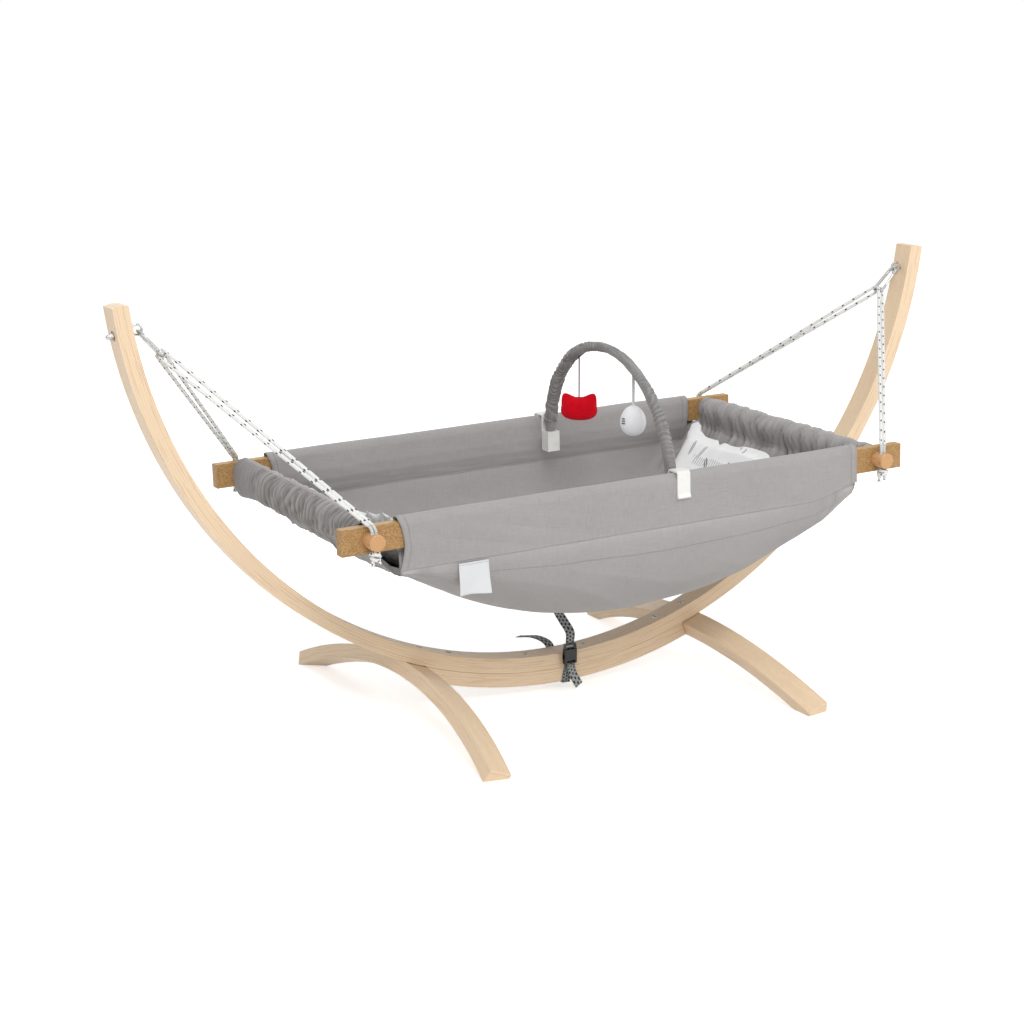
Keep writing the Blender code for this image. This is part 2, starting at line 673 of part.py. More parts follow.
def make_gate(side, name, shade, parent):
    """The sprung gate; its origin is on its hinge."""
    top, bottom = carabiner_side(-1)
    rise = top - bottom
    heel = [math.pi / 2 * index / 4 for index in range(5)]
    profile = [(0, GATE_LENGTH), (GATE_RADIUS, GATE_LENGTH)]
    profile += [(GATE_RADIUS * math.cos(a), -GATE_RADIUS * math.sin(a)) for a in heel]
    pivot = gate_pivot()
    place = carabiner_frame(side) @ Matrix.Translation((0, pivot.x, pivot.y))
    tilt = Matrix.Rotation(math.atan2(-rise.x, rise.y), 4, "X")
    return finish(name, turned_mesh(name, profile), shade, place @ tilt, parent)


def make_rope(side, way, name, shade, parent):
    """A doubled rope: up through the bar's hole, over the carabiner's wire and back down."""
    frame = carabiner_frame(side)
    loop_centre = frame @ Vector((0, 0, BOTTOM_ARC_PLACE))
    normal = frame.to_3x3() @ Vector((1, 0, 0))
    hole = Vector((side * BAR_PLACE, way * ROPE_HOLE_PLACE, 0))
    down = (CRADLE.to_3x3() @ UP) * -1
    along = CRADLE.to_3x3() @ Vector((1, 0, 0))
    if along.dot(normal) < 0:
        along = -along
    mouth = CRADLE @ (hole + UP * BAR_RADIUS)
    knee = mouth - down * ROPE_KNEE_RISE
    heading = (knee - loop_centre).normalized()
    wrap = loop_centre + heading * CARABINER_BOTTOM_RADIUS
    bend = CARABINER_WIRE + ROPE_RADIUS + SEAT_GAP
    run = (knee - wrap).length

    def strand(hand):
        points = []
        for index in range(ROPE_RUN_POINTS + 1):
            travel = (run - ROPE_BEND) * index / ROPE_RUN_POINTS
            share = min(max((travel - ROPE_HOLD) / ROPE_MERGE, 0), 1)
            share = share * share * (3 - 2 * share)
            spread = normal * bend * (1 - share) + along * ROPE_PAIR_HALF * share
            points.append(wrap + heading * travel + spread * hand)
        for index in range(1, 4):
            share = index / 4
            before = knee - heading * ROPE_BEND * (1 - share)
            after = knee + down * ROPE_KNEE_RISE * share
            points.append(before.lerp(after, share) + along * ROPE_PAIR_HALF * hand)
        points.append(mouth + along * ROPE_PAIR_HALF * hand)
        points.append(mouth + down * 2 * BAR_RADIUS + along * ROPE_PAIR_HALF * hand)
        return points

    steps = 6
    over = []
    for index in range(1, steps):
        angle = math.pi * index / steps
        over.append(wrap + normal * bend * math.cos(angle) - heading * bend * math.sin(angle))
    points = list(reversed(strand(1))) + over + strand(-1)
    return finish(name, tube_mesh(name, points, ROPE_RADIUS), shade, None, parent)


def make_knot(side, way, name, shade, parent):
    """The knot that stops both strands under the cross bar, with its two short tails."""
    spot = Vector((side * BAR_PLACE, way * ROPE_HOLE_PLACE, -BAR_RADIUS - SEAT_GAP))
    matrix = CRADLE @ Matrix.Translation(spot)
    upper = []
    for index in range(5):
        swell = (KNOT_RADIUS - KNOT_WAIST) * math.sin(math.pi * index / 4)
        upper.append((KNOT_WAIST + swell, -KNOT_HEIGHT / 2 * index / 4))
    lower = [(x, z - KNOT_HEIGHT / 2) for x, z in upper[1:]]
    profile = [(0, 0)] + upper + lower + [(0, -KNOT_HEIGHT)]
    obj = finish(name, turned_mesh(name, profile, 12), shade, matrix, parent)
    for hand in (-1, 1):
        height = KNOT_TAIL + KNOT_HEIGHT / 3
        tail = cylinder_mesh("tail", ROPE_RADIUS, height, -height, 8)
        lean = Matrix.Rotation(-hand * KNOT_TAIL_LEAN, 4, "Y")
        place = Matrix.Translation((hand * ROPE_PAIR_HALF, 0, -KNOT_HEIGHT * 2 / 3)) @ lean
        boolean(obj, cutter(f"tail_{name}_{hand}", tail, matrix @ place), "UNION")
    return obj


def make_sleeve(side, name, shade, parent):
    """A canvas sleeve round a rail, closed below the rail by its seam."""
    outer = SLEEVE_HALF_WIDTH
    inner = outer - CANVAS
    half = RAIL_HEIGHT / 2
    shoulder = half * 0.7
    steps = [math.pi * index / 8 for index in range(9)]
    outline = [(outer * math.cos(a), shoulder + (SLEEVE_TOP - shoulder) * math.sin(a)) for a in steps]
    seam = SLEEVE_SEAM_WIDTH / 2
    outline += [(-outer, -half), (-outer, SLEEVE_SEAM_WIDTH - SLEEVE_SEAM), (-outer, -SLEEVE_SEAM)]
    outline += [(-outer + 2 * seam, -SLEEVE_SEAM), (outer, -half)]
    hole_top = half + SEAT_GAP
    slot = [(inner, hole_top), (-inner, hole_top), (-inner, -half), (-inner, SLEEVE_SEAM_WIDTH - SLEEVE_SEAM)]
    slot += [(inner, -half - SEAT_GAP)]
    turned = [[(-side * y, z) for y, z in line] for line in (outline, slot)]
    matrix = CRADLE @ Matrix.Translation((0, side * RAIL_SPREAD, 0)) @ cross_section()
    return finish(name, plate_mesh(name, turned, 2 * SLEEVE_HALF_LENGTH), shade, matrix, parent)


SLING_EDGE = RAIL_SPREAD + SLEEVE_HALF_WIDTH - CANVAS / 2


def sling_point(x, v):
    """The sling's outer face in the cradle frame: x along the rails, v from -1 (front) to 1 (rear)."""
    share = abs(x) / SLING_REACH
    end = max(0, 1 - (SLING_HALF_LENGTH - abs(x)) / SLING_CORNER)
    seam_height = -(SLEEVE_SEAM + LOOSE_GAP + CANVAS * share)
    edge_height = seam_height * (1 - end) - SLING_END_DEPTH * end
    depth = SLING_DEPTH * (1 - share**SLING_FULLNESS) * (1 + SLING_LEAN * x / SLING_HALF_LENGTH)
    depth = depth * (1 - end) + (SLING_END_DEPTH + SLING_END_SAG) * end
    half_width = SLING_EDGE - (SLING_EDGE - RAIL_INNER + CANVAS) * end
    y = half_width * math.sin(v * math.pi / 2)
    fall = (1 - abs(math.sin(v * math.pi / 2)) ** SLING_SIDE_SHAPE) ** (1 / SLING_SIDE_SHAPE)
    z = edge_height - (depth + edge_height) * fall
    fold = SLING_FOLD * share**6 * fall * math.cos(SLING_FOLDS * math.pi * v)
    return Vector((x, y, z - abs(fold)))


def make_sling(shade, parent):
    """The boat-shaped sling: one canvas shell from seam to seam, with its gathers at both ends."""
    def surface(form):
        bmesh.ops.create_grid(form, x_segments=SLING_COLUMNS, y_segments=SLING_ROWS, size=1)
        for vert in form.verts:
            inner = abs(vert.co.x) / (1 - 2 / SLING_COLUMNS)
            x = (SLING_HALF_LENGTH - SLING_CORNER) * math.sin(min(inner, 1) * math.pi / 2)
            if inner > 1 + 1 / SLING_COLUMNS:
                x = SLING_HALF_LENGTH
            vert.co = sling_point(math.copysign(x, vert.co.x), vert.co.y)

    obj = finish("sling", smooth(mesh_from(surface, "sling")), shade, CRADLE, parent)
    if obj.data.polygons[len(obj.data.polygons) // 2].normal.z > 0:
        obj.data.flip_normals()
    thick = obj.modifiers.new("canvas", "SOLIDIFY")
    thick.thickness = CANVAS
    thick.offset = -1
    return obj


def make_end_sleeve(end, name, shade, parent):
    """A gathered canvas tube round a cross bar, between the rails."""
    half = RAIL_INNER - SEAT_GAP
    bore = (BAR_RADIUS + LOOSE_GAP) / math.cos(math.pi / ROUND_STEPS)
    count = END_GATHERS * 4
    outer = []
    for index in range(count + 1):
        share = index / count
        gather = END_GATHER * math.cos(math.tau * END_GATHERS * share)
        outer.append((END_SLEEVE_RADIUS + gather, half - 2 * half * share))
    profile = outer + [(bore, -half), (bore, half)]
    data = turned_mesh(name, profile, ROUND_STEPS, closed=True)
    slack = (bore * END_SLEEVE_STRETCH - BAR_RADIUS) / 2
    droop = Matrix.Translation((0, 0, -slack))
    data.transform(Matrix.Rotation(math.pi / 2, 4, "X"))
    data.transform(Matrix.Diagonal((1, 1, END_SLEEVE_STRETCH, 1)))
    data.transform(droop)
    matrix = CRADLE @ Matrix.Translation((end * BAR_PLACE, 0, 0))
    return finish(name, data, shade, matrix, parent)


def make_label(shade, parent):
    """The blank cloth label, sewn into the front seam and hanging straight down."""
    stand_off = (LABEL_THICKNESS + CANVAS) / 2 + SEAT_GAP
    seam = sling_point(LABEL_PLACE, -1)
    top = Vector((seam.x, seam.y - stand_off, -SLEEVE_SEAM))
    size = (LABEL_SIZE, LABEL_THICKNESS, LABEL_SIZE)
    data = box_mesh("label", size, (0, 0, -LABEL_SIZE / 2))
    return finish("label", data, shade, CRADLE @ Matrix.Translation(top), parent)


def make_pad(shade, parent):
    """A quilted pad that lies in the sling, with drawn-in channels and raised ends."""
    def cushion(form):
        bmesh.ops.create_grid(form, x_segments=PAD_COLUMNS, y_segments=PAD_ROWS, size=1)
        made = bmesh.ops.extrude_face_region(form, geom=list(form.faces))
        upper = {item for item in made["geom"] if isinstance(item, bmesh.types.BMVert)}
        for vert in form.verts:
            u, v = vert.co.x, vert.co.y
            rim = max(abs(u), abs(v)) ** 6
            side = math.asin(v * PAD_HALF_WIDTH / SLING_EDGE) / (math.pi / 2)
            under = sling_point(u * PAD_HALF_LENGTH, side)
            lift = PAD_LIFT + PAD_END_LIFT * abs(u) ** 6 + SLING_FOLD * abs(u) ** 2
            under.z += lift
            under.y = v * PAD_HALF_WIDTH
            if vert in upper:
                column = round((u + 1) / 2 * PAD_COLUMNS)
                channel = PAD_CHANNEL_DEPTH if column % 2 else 0
                under.z += PAD_EDGE_THICKNESS + (PAD_THICKNESS - PAD_EDGE_THICKNESS - channel) * (1 - rim)
            vert.co = under

    obj = finish("pad", smooth(mesh_from(cushion, "pad")), shade, CRADLE, parent)
    rounder = obj.modifiers.new("soft", "SUBSURF")
    rounder.levels = 1
    rounder.render_levels = 1
    return obj


ARCH = CRADLE @ Matrix.Translation((ARCH_PLACE, 0, 0)) @ Matrix.Rotation(-ARCH_SLANT, 4, "Z")
CLIP_INNER = SLEEVE_HALF_WIDTH + SEAT_GAP
CLIP_TOP = SLEEVE_TOP + SEAT_GAP
SOCKET_DEPTH = 2 * (ARCH_TUBE_RADIUS + 2 * SEAT_GAP + CLIP_WALL)
SOCKET_SPREAD = RAIL_SPREAD - CLIP_INNER - SOCKET_DEPTH / 2
ARCH_HALF_SPAN = SOCKET_SPREAD / math.cos(ARCH_SLANT)


def arch_height(y):
    return ARCH_HEIGHT * math.sqrt(1 - (y / ARCH_HALF_SPAN) ** 2)


def make_arch(shade, parent):
    """The soft tube: half an ellipse whose straight ends stand in the clips' sockets."""
    points = []
    for index in range(ARCH_SEGMENTS + 1):
        angle = math.pi * index / ARCH_SEGMENTS
        points.append(Vector((0, -ARCH_HALF_SPAN * math.cos(angle), ARCH_HEIGHT * math.sin(angle))))
    foot = SOCKET_TOP - ARCH_PLUG
    points = [Vector((0, points[0].y, foot))] + points + [Vector((0, points[-1].y, foot))]
    return finish("toy_arch", tube_mesh("toy_arch", points, ARCH_TUBE_RADIUS), shade, ARCH, parent)


def make_clip(side, name, shade, parent):
    """A hook over the rail and its sleeve, with a socket for the arch inside and a tongue outside."""
    inner = CLIP_INNER
    outer = inner + CLIP_WALL
    back = inner + SOCKET_DEPTH
    flare = CLIP_WALL
    outline = [
        (inner, -CLIP_TONGUE_DROP),
        (inner + flare, -CLIP_TONGUE_DROP - flare),
        (outer + flare, -CLIP_TONGUE_DROP),
        (outer, -CLIP_TONGUE_DROP + 2 * flare),
        (outer, CLIP_TOP - flare / 2),
        (outer - flare, CLIP_TOP + CLIP_WALL),
        (flare - outer, CLIP_TOP + CLIP_WALL),
        (-outer, CLIP_TOP - flare / 2),
        (-outer, SOCKET_TOP),
        (-back, SOCKET_TOP),
        (-back, SOCKET_TOP - SOCKET_LENGTH),
        (-inner, SOCKET_TOP - SOCKET_LENGTH),
        (-inner, CLIP_TOP),
        (inner, CLIP_TOP),
    ]
    outline = [(side * y, z) for y, z in outline]
    place = ARCH_PLACE + side * SOCKET_SPREAD * math.tan(ARCH_SLANT)
    matrix = CRADLE @ Matrix.Translation((place, side * RAIL_SPREAD, 0))
    obj = finish(name, plate_mesh(name, [outline], CLIP_WIDTH), shade, matrix @ cross_section(), parent)
    depth = ARCH_PLUG + SEAT_GAP
    hole = cylinder_mesh("socket", ARCH_TUBE_RADIUS + SEAT_GAP, depth + OVERRUN, SOCKET_TOP - depth, 24)
    spot = CRADLE @ Matrix.Translation((place, side * SOCKET_SPREAD, 0))
    boolean(obj, cutter(f"socket_{name}", hole, spot))
    return obj


def make_string(place, radius, length, name, shade, parent):
    """A toy's string, from just under the arch down to the toy."""
    slope = string_slope(place)
    top = ARCH_TUBE_RADIUS / math.cos(slope) + radius * math.tan(slope) + SEAT_GAP
    data = cylinder_mesh(name, radius, length - top, -length, 8)
    return finish(name, data, shade, hang_frame(place), parent)


def string_slope(place):
    """Slope of the arch's tube at a place along its span."""
    run = ARCH_HEIGHT * place / ARCH_HALF_SPAN**2 / math.sqrt(1 - (place / ARCH_HALF_SPAN) ** 2)
    return math.atan(run)


def hang_frame(place):
    """Origin on the arch's axis, upright in the world."""
    spot = ARCH @ Vector((0, place, arch_height(place)))
    return Matrix.Translation(spot) @ Matrix.Rotation(CRADLE_YAW - ARCH_SLANT, 4, "Z")


def make_red_toy(shade, parent):
    """A soft body with two ears, each cut by the body."""
    frame = hang_frame(TOY_SPREAD)
    turn = Matrix.Rotation(TOY_TURN, 4, "Z")
    body_place = turn @ Matrix.Translation((0, 0, -RED_TOY_DROP - RED_TOY_SIZE[2] / 2))
    ball = ball_mesh("red_toy_body", RED_TOY_SIZE)
    body = finish("red_toy_body", ball, shade, frame @ body_place, parent)
    grown = tuple(size + 2 * SEAT_GAP for size in RED_TOY_SIZE)
    knife = cutter("ear_cut", ball_mesh("ear_cut", grown), frame @ body_place)
    for side, name in ((-1, "red_toy_ear_front"), (1, "red_toy_ear_rear")):
        lean = Matrix.Rotation(-side * RED_EAR_LEAN, 4, "X")
        spot = Matrix.Translation((0, side * RED_EAR_SPREAD, RED_TOY_SIZE[2] * (0.5 - RED_EAR_SINK / 2)))
        place = frame @ body_place @ spot @ lean
        ear = finish(name, ball_mesh(name, RED_EAR_SIZE, 12), shade, place, parent)
        boolean(ear, knife)
    return body


def make_white_toy(shade, parent):
    """A flat, egg-shaped soft body."""
    drop = Matrix.Translation((0, 0, -WHITE_TOY_DROP - WHITE_TOY_SIZE[2] / 2))
    place = Matrix.Rotation(TOY_TURN, 4, "Z") @ drop
    data = ball_mesh("white_toy_body", WHITE_TOY_SIZE)
    return finish("white_toy_body", data, shade, hang_frame(-TOY_SPREAD) @ place, parent)


def make_ribbon(shade, parent):
    top = ARCH_TUBE_RADIUS / math.cos(string_slope(-TOY_SPREAD)) + LOOSE_GAP
    length = WHITE_TOY_DROP - SEAT_GAP - top
    size = (RIBBON_WIDTH, RIBBON_THICKNESS, length)
    data = box_mesh("white_toy_ribbon", size, (0, 0, -top - length / 2))
    return finish("white_toy_ribbon", data, shade, hang_frame(-TOY_SPREAD), parent)


# The safety strap runs in front of the bow, so its places follow the bow's front face
STRAP_FRONT = -BOW_WIDTH / 2
BOW_UNDER = BOW_CENTRE.z - STRIP_OUTER_RADIUS
BUCKLE_CENTRE = Vector((STRAP_PLACE, STRAP_FRONT - WEB_THICKNESS - SEAT_GAP * 2 - BUCKLE_DEPTH / 2, 0))


def ribbon_mesh(name, path, width_ways, width, thickness):
    """A webbing band along a path; width_ways gives the direction of its width at each point."""
    def band(form):
        rings = []
        for index, place in enumerate(path):
            before = path[max(index - 1, 0)]
            after = path[min(index + 1, len(path) - 1)]
            ahead = (after - before).normalized()
            wide = (width_ways[index] - ahead * width_ways[index].dot(ahead)).normalized()
            flat = ahead.cross(wide)
            corners = []
            for a, b in ((-1, -1), (1, -1), (1, 1), (-1, 1)):
                corners.append(form.verts.new(place + wide * a * width / 2 + flat * b * thickness / 2))
            rings.append(corners)
        for first, second in zip(rings, rings[1:]):
            for index in range(4):
                after = (index + 1) % 4
                form.faces.new((first[index], first[after], second[after], second[index]))
        form.faces.new(rings[0])
        form.faces.new(list(reversed(rings[-1])))

    return smooth(mesh_from(band, name))


def blend_path(points, per_span):
    """A smooth path through hand-placed points."""
    padded = [points[0] * 2 - points[1]] + points + [points[-1] * 2 - points[-2]]
    path = []
    for a, b, c, d in zip(padded, padded[1:], padded[2:], padded[3:]):
        for index in range(per_span):
            t = index / per_span
            place = b * 2 + (c - a) * t + (a * 2 - b * 5 + c * 4 - d) * t**2
            place += (b * 3 - a - c * 3 + d) * t**3
            path.append(place / 2)
    lead = (points[1] - points[0]).normalized() * WEB_THICKNESS
    trail = (points[-1] - points[-2]).normalized() * WEB_THICKNESS
    return [points[0] - lead] + path + [points[-1], points[-1] + trail]


def make_buckle_body(shade):
    """The buckle's open housing: a box shell with windows at both sides, and a bar for the webbing."""
    size = (BUCKLE_WIDTH, BUCKLE_DEPTH, BUCKLE_LENGTH)
    centre = BUCKLE_CENTRE + UP * (BUCKLE_TOP - BUCKLE_LENGTH / 2)
    place = Matrix.Translation(centre)
    obj = finish("buckle_body", box_mesh("buckle_body", size), shade, place)
    bevel(obj, BUCKLE_WALL, 3)
    inside = (BUCKLE_WIDTH - 4 * BUCKLE_WALL, BUCKLE_DEPTH - 2 * BUCKLE_WALL, BUCKLE_LENGTH)
    pocket = box_mesh("pocket", inside, (0, 0, BUCKLE_LENGTH - LATCH_REACH - SEAT_GAP))
    boolean(obj, cutter("buckle_pocket", pocket, place))
    window = (2 * BUCKLE_WIDTH, BUCKLE_DEPTH - 2 * BUCKLE_WALL, BUCKLE_LENGTH * 0.3)
    boolean(obj, cutter("buckle_window", box_mesh("window", window), place))
    slot = (WEB_WIDTH + 2 * LOOSE_GAP, 2 * BUCKLE_DEPTH, 2 * WEB_THICKNESS + LOOSE_GAP)
    low = (0, 0, 3 * BUCKLE_WALL - BUCKLE_LENGTH / 2)
    boolean(obj, cutter("buckle_slot", box_mesh("slot", slot, low), place))
    return obj


def make_buckle_latch(shade, parent):
    """The plug: a head with a webbing slot, two side prongs and a middle guide."""
    place = Matrix.Translation(BUCKLE_CENTRE + UP * (BUCKLE_TOP + SEAT_GAP))
    depth = BUCKLE_DEPTH - 2 * BUCKLE_WALL - 2 * SEAT_GAP
    half = BUCKLE_WIDTH / 2 - 2 * BUCKLE_WALL - SEAT_GAP
    reach = LATCH_REACH - SEAT_GAP
    prong = LATCH_PRONG
    right = [
        (prong / 3, -reach * 0.8),
        (prong / 2, BUCKLE_WALL),
        (half - prong, BUCKLE_WALL),
        (half - prong, -reach * 0.55),
        (half - prong * 1.4, -reach * 0.8),
        (half - prong * 0.4, -reach),
        (half, -reach * 0.85),
        (half, 0),
        (BUCKLE_WIDTH / 2, 0),
        (BUCKLE_WIDTH / 2 - BUCKLE_WALL, LATCH_HEAD),
    ]
    left = [(-x, z) for x, z in reversed(right)]
    data = plate_mesh("buckle_latch", [right + left], depth)
    obj = finish("buckle_latch", data, shade, place @ upright(), parent)
    slot = (WEB_WIDTH + 2 * LOOSE_GAP, 2 * BUCKLE_DEPTH, 2 * WEB_THICKNESS)
    boolean(obj, cutter("latch_slot", box_mesh("slot", slot, (0, 0, LATCH_HEAD / 2)), place))
    return obj


def make_strap_loop(shade):
    """Webbing from the buckle's lower bar, under the bow and up behind it to its free end."""
    off = WEB_THICKNESS / 2 + SEAT_GAP
    front = STRAP_FRONT - off
    rear = BOW_WIDTH / 2 + off + SEAT_GAP
    under = BOW_UNDER - off
    top = BUCKLE_TOP - BUCKLE_LENGTH
    x = STRAP_PLACE
    corner = WOOD_BEVEL
    crest = WEB_WIDTH / 3
    points = [
        Vector((x, front, top - SEAT_GAP - WEB_THICKNESS)),
        Vector((x, front, top - WEB_WIDTH / 2)),
        Vector((x - 2 * corner, front, (top + under) / 2)),
        Vector((x - crest, front, under + corner)),
        Vector((x - crest, front + corner, under)),
        Vector((x - crest, rear - corner, under)),
        Vector((x - crest, rear, under + corner)),
        Vector((x - crest, rear, (under + BOW_FLOOR_HEIGHT) / 2)),
        Vector((x - 2 * crest, rear + crest, BOW_FLOOR_HEIGHT + crest / 2)),
        Vector((x - 4 * crest, rear + REAR_TAIL_REACH / 2, BOW_FLOOR_HEIGHT + 2 * crest)),
        Vector((x - 7 * crest, rear + REAR_TAIL_REACH, BOW_FLOOR_HEIGHT + crest)),
    ]
    path = blend_path(points, 3)
    ways = [Vector((1, 0, 0))] * len(path)
    return finish("strap_loop", ribbon_mesh("strap_loop", path, ways, WEB_WIDTH, WEB_THICKNESS), shade)


def make_strap_tail(shade):
    """The strap's free end, hanging in front of the bow below the buckle."""
    low = BUCKLE_TOP - BUCKLE_LENGTH - SEAT_GAP - WEB_THICKNESS
    front = BUCKLE_CENTRE.y - WEB_THICKNESS
    x = STRAP_PLACE
    points = [
        Vector((x + WEB_THICKNESS, front, low)),
        Vector((x + WEB_THICKNESS, front, low - WEB_WIDTH / 3)),
        Vector((x + WEB_WIDTH / 3, front - WEB_THICKNESS, low - TAIL_LENGTH / 2)),
        Vector((x + WEB_WIDTH, front - 2 * WEB_THICKNESS, low - TAIL_LENGTH)),
    ]
    path = blend_path(points, 4)
    ways = [Vector((1, 0, 0))] * len(path)
    return finish("strap_tail", ribbon_mesh("strap_tail", path, ways, WEB_WIDTH, WEB_THICKNESS), shade)


def make_strap_upper(shade, parent):
    """Webbing from the buckle's plug up to the sling's middle, with a quarter twist."""
    low = BUCKLE_CENTRE + UP * (BUCKLE_TOP + LATCH_HEAD + 2 * SEAT_GAP + WEB_THICKNESS)
    local = CRADLE.inverted() @ Vector((STRAP_TOP_PLACE, 0, 0))
    top = CRADLE @ sling_point(local.x, 0) - UP * (2 * SEAT_GAP + WEB_THICKNESS)
    quarter = UP * (top.z - low.z) / 4
    rise = low + quarter
    hang = top - quarter
    points = [low, rise, low.lerp(top, 0.5), hang, top]
    path = blend_path(points, 5)
    ways = []
    for index in range(len(path)):
        turn = math.pi / 2 * index / (len(path) - 1)
        ways.append(Vector((math.cos(turn), math.sin(turn), 0)))
    data = ribbon_mesh("strap_upper", path, ways, WEB_WIDTH, WEB_THICKNESS)
    return finish("strap_upper", data, shade, None, parent)


def build():
    ply = material("plywood", (0.72, 0.55, 0.36), 0.5)
    cork = material("speckled_board", (0.52, 0.33, 0.15), 0.6)
    bar_wood = material("bar_wood", (0.68, 0.4, 0.19), 0.5)
    zinc = material("zinc", (0.62, 0.62, 0.62), 0.35, 1.0)
    rope = material("rope", (0.8, 0.8, 0.77), 0.8)
    canvas = material("canvas", (0.33, 0.32, 0.31), 0.9)
    label = material("label_cloth", (0.85, 0.85, 0.84), 0.8)
    padding = material("pad_cotton", (0.86, 0.86, 0.86), 0.9)
    heather = material("arch_fabric", (0.24, 0.24, 0.24), 0.9)
    plastic = material("white_plastic", (0.85, 0.85, 0.82), 0.35)
    red = material("red_plush", (0.58, 0.0, 0.01), 0.9)
    cream = material("white_plush", (0.85, 0.84, 0.8), 0.9)
    cord = material("dark_string", (0.05, 0.05, 0.05), 0.8)
    webbing = material("webbing", (0.12, 0.12, 0.12), 0.8)
    black = material("black_plastic", (0.02, 0.02, 0.02), 0.3)

    make_arm(-1, "arm_left", ply)
    make_arm(1, "arm_right", ply)
    make_strip(ply)
    make_foot(-1, "foot_left", ply)
    make_foot(1, "foot_right", ply)
    for name, angle, in_foot in bolt_angles():
        make_bolt(f"frame_bolt_{name}", angle, in_foot, zinc)
        make_nut(f"frame_nut_{name}", angle, in_foot, zinc)
    hang = carabiner_frame(1).to_3x3() @ UP
    pivot_height = (eye_centre(1) + hang * (EYE_RING_RADIUS - EYE_WIRE_RADIUS)).z
    swing = empty("swing_axis", Matrix.Translation((0, 0, pivot_height)))
    cradle = empty("cradle_frame", CRADLE, swing)
    for side, hand in ((-1, "left"), (1, "right")):
        make_eye_bolt(side, f"eye_bolt_{hand}", zinc)
        make_cap_nut(side, f"cap_nut_{hand}", zinc)
        make_carabiner(side, f"carabiner_{hand}", zinc, swing)
        make_gate(side, f"carabiner_gate_{hand}", zinc, swing)
        make_cross_bar(side, f"cross_bar_{hand}", bar_wood, cradle)
        make_end_sleeve(side, f"end_sleeve_{hand}", canvas, cradle)
        for way, end in ((-1, "front"), (1, "rear")):
            make_rope(side, way, f"rope_{end}_{hand}", rope, swing)
            make_knot(side, way, f"knot_{end}_{hand}", rope, cradle)
    for way, end in ((-1, "front"), (1, "rear")):
        make_rail(way, f"side_rail_{end}", cork, cradle)
        make_sleeve(way, f"rail_sleeve_{end}", canvas, cradle)
    make_sling(canvas, cradle)
    make_pad(padding, cradle)
    make_label(label, cradle)

    arch = empty("arch_frame", ARCH, cradle)
    make_arch(heather, arch)
    make_clip(-1, "arch_clip_front", plastic, arch)
    make_clip(1, "arch_clip_rear", plastic, arch)
    red_hang = empty("red_toy_pivot", hang_frame(TOY_SPREAD), arch)
    make_string(TOY_SPREAD, TOY_STRING_RADIUS, RED_TOY_DROP - SEAT_GAP, "red_toy_string", cord, red_hang)
    make_red_toy(red, red_hang)
    white_hang = empty("white_toy_pivot", hang_frame(-TOY_SPREAD), arch)
    make_ribbon(cream, white_hang)
    make_white_toy(cream, white_hang)

    make_buckle_body(black)
    make_buckle_latch(black, None)
    make_strap_loop(webbing)
    make_strap_tail(webbing)
    make_strap_upper(webbing, cradle)


clear_scene()
PARTS = collection("hammock_cradle")
CUTTERS = collection("cutters", hidden=True)
build()
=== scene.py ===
"""Looks of the hammock cradle: its wood, canvas, ropes, pad, toys and strap, over the fixed model."""

import functools
import math

import bmesh
import bpy
from mathutils import Matrix, Vector, noise
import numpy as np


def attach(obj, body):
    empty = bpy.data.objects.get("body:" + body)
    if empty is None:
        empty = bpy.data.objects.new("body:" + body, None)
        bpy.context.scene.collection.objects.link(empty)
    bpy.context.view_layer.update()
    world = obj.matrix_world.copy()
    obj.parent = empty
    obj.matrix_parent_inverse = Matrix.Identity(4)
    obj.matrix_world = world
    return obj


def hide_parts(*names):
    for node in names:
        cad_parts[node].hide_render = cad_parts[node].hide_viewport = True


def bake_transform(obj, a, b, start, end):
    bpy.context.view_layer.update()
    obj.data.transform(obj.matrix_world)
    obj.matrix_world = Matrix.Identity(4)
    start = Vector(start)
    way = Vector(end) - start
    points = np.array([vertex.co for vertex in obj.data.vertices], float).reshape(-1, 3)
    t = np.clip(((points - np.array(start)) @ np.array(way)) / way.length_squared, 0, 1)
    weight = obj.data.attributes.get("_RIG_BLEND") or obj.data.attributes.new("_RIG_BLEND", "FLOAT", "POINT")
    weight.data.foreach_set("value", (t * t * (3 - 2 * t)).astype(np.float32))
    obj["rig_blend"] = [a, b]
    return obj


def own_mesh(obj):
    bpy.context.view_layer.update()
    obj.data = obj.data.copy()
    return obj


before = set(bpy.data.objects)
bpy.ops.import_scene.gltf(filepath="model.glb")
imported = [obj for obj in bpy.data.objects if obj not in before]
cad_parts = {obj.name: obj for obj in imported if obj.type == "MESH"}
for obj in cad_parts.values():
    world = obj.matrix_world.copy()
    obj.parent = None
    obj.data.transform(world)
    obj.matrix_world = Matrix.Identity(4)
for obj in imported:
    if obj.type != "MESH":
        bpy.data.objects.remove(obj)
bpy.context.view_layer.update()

bl_info = {
    "name": "Hammock Cradle", "version": (1, 0, 0), "blender": (4, 5, 0),
    "location": "3D View > Sidebar > Cradle",
    "description": "Builds the canvas, ropes, pad, toys and finishes of a baby hammock cradle",
    "category": "Add Mesh"
}

MM = 0.001

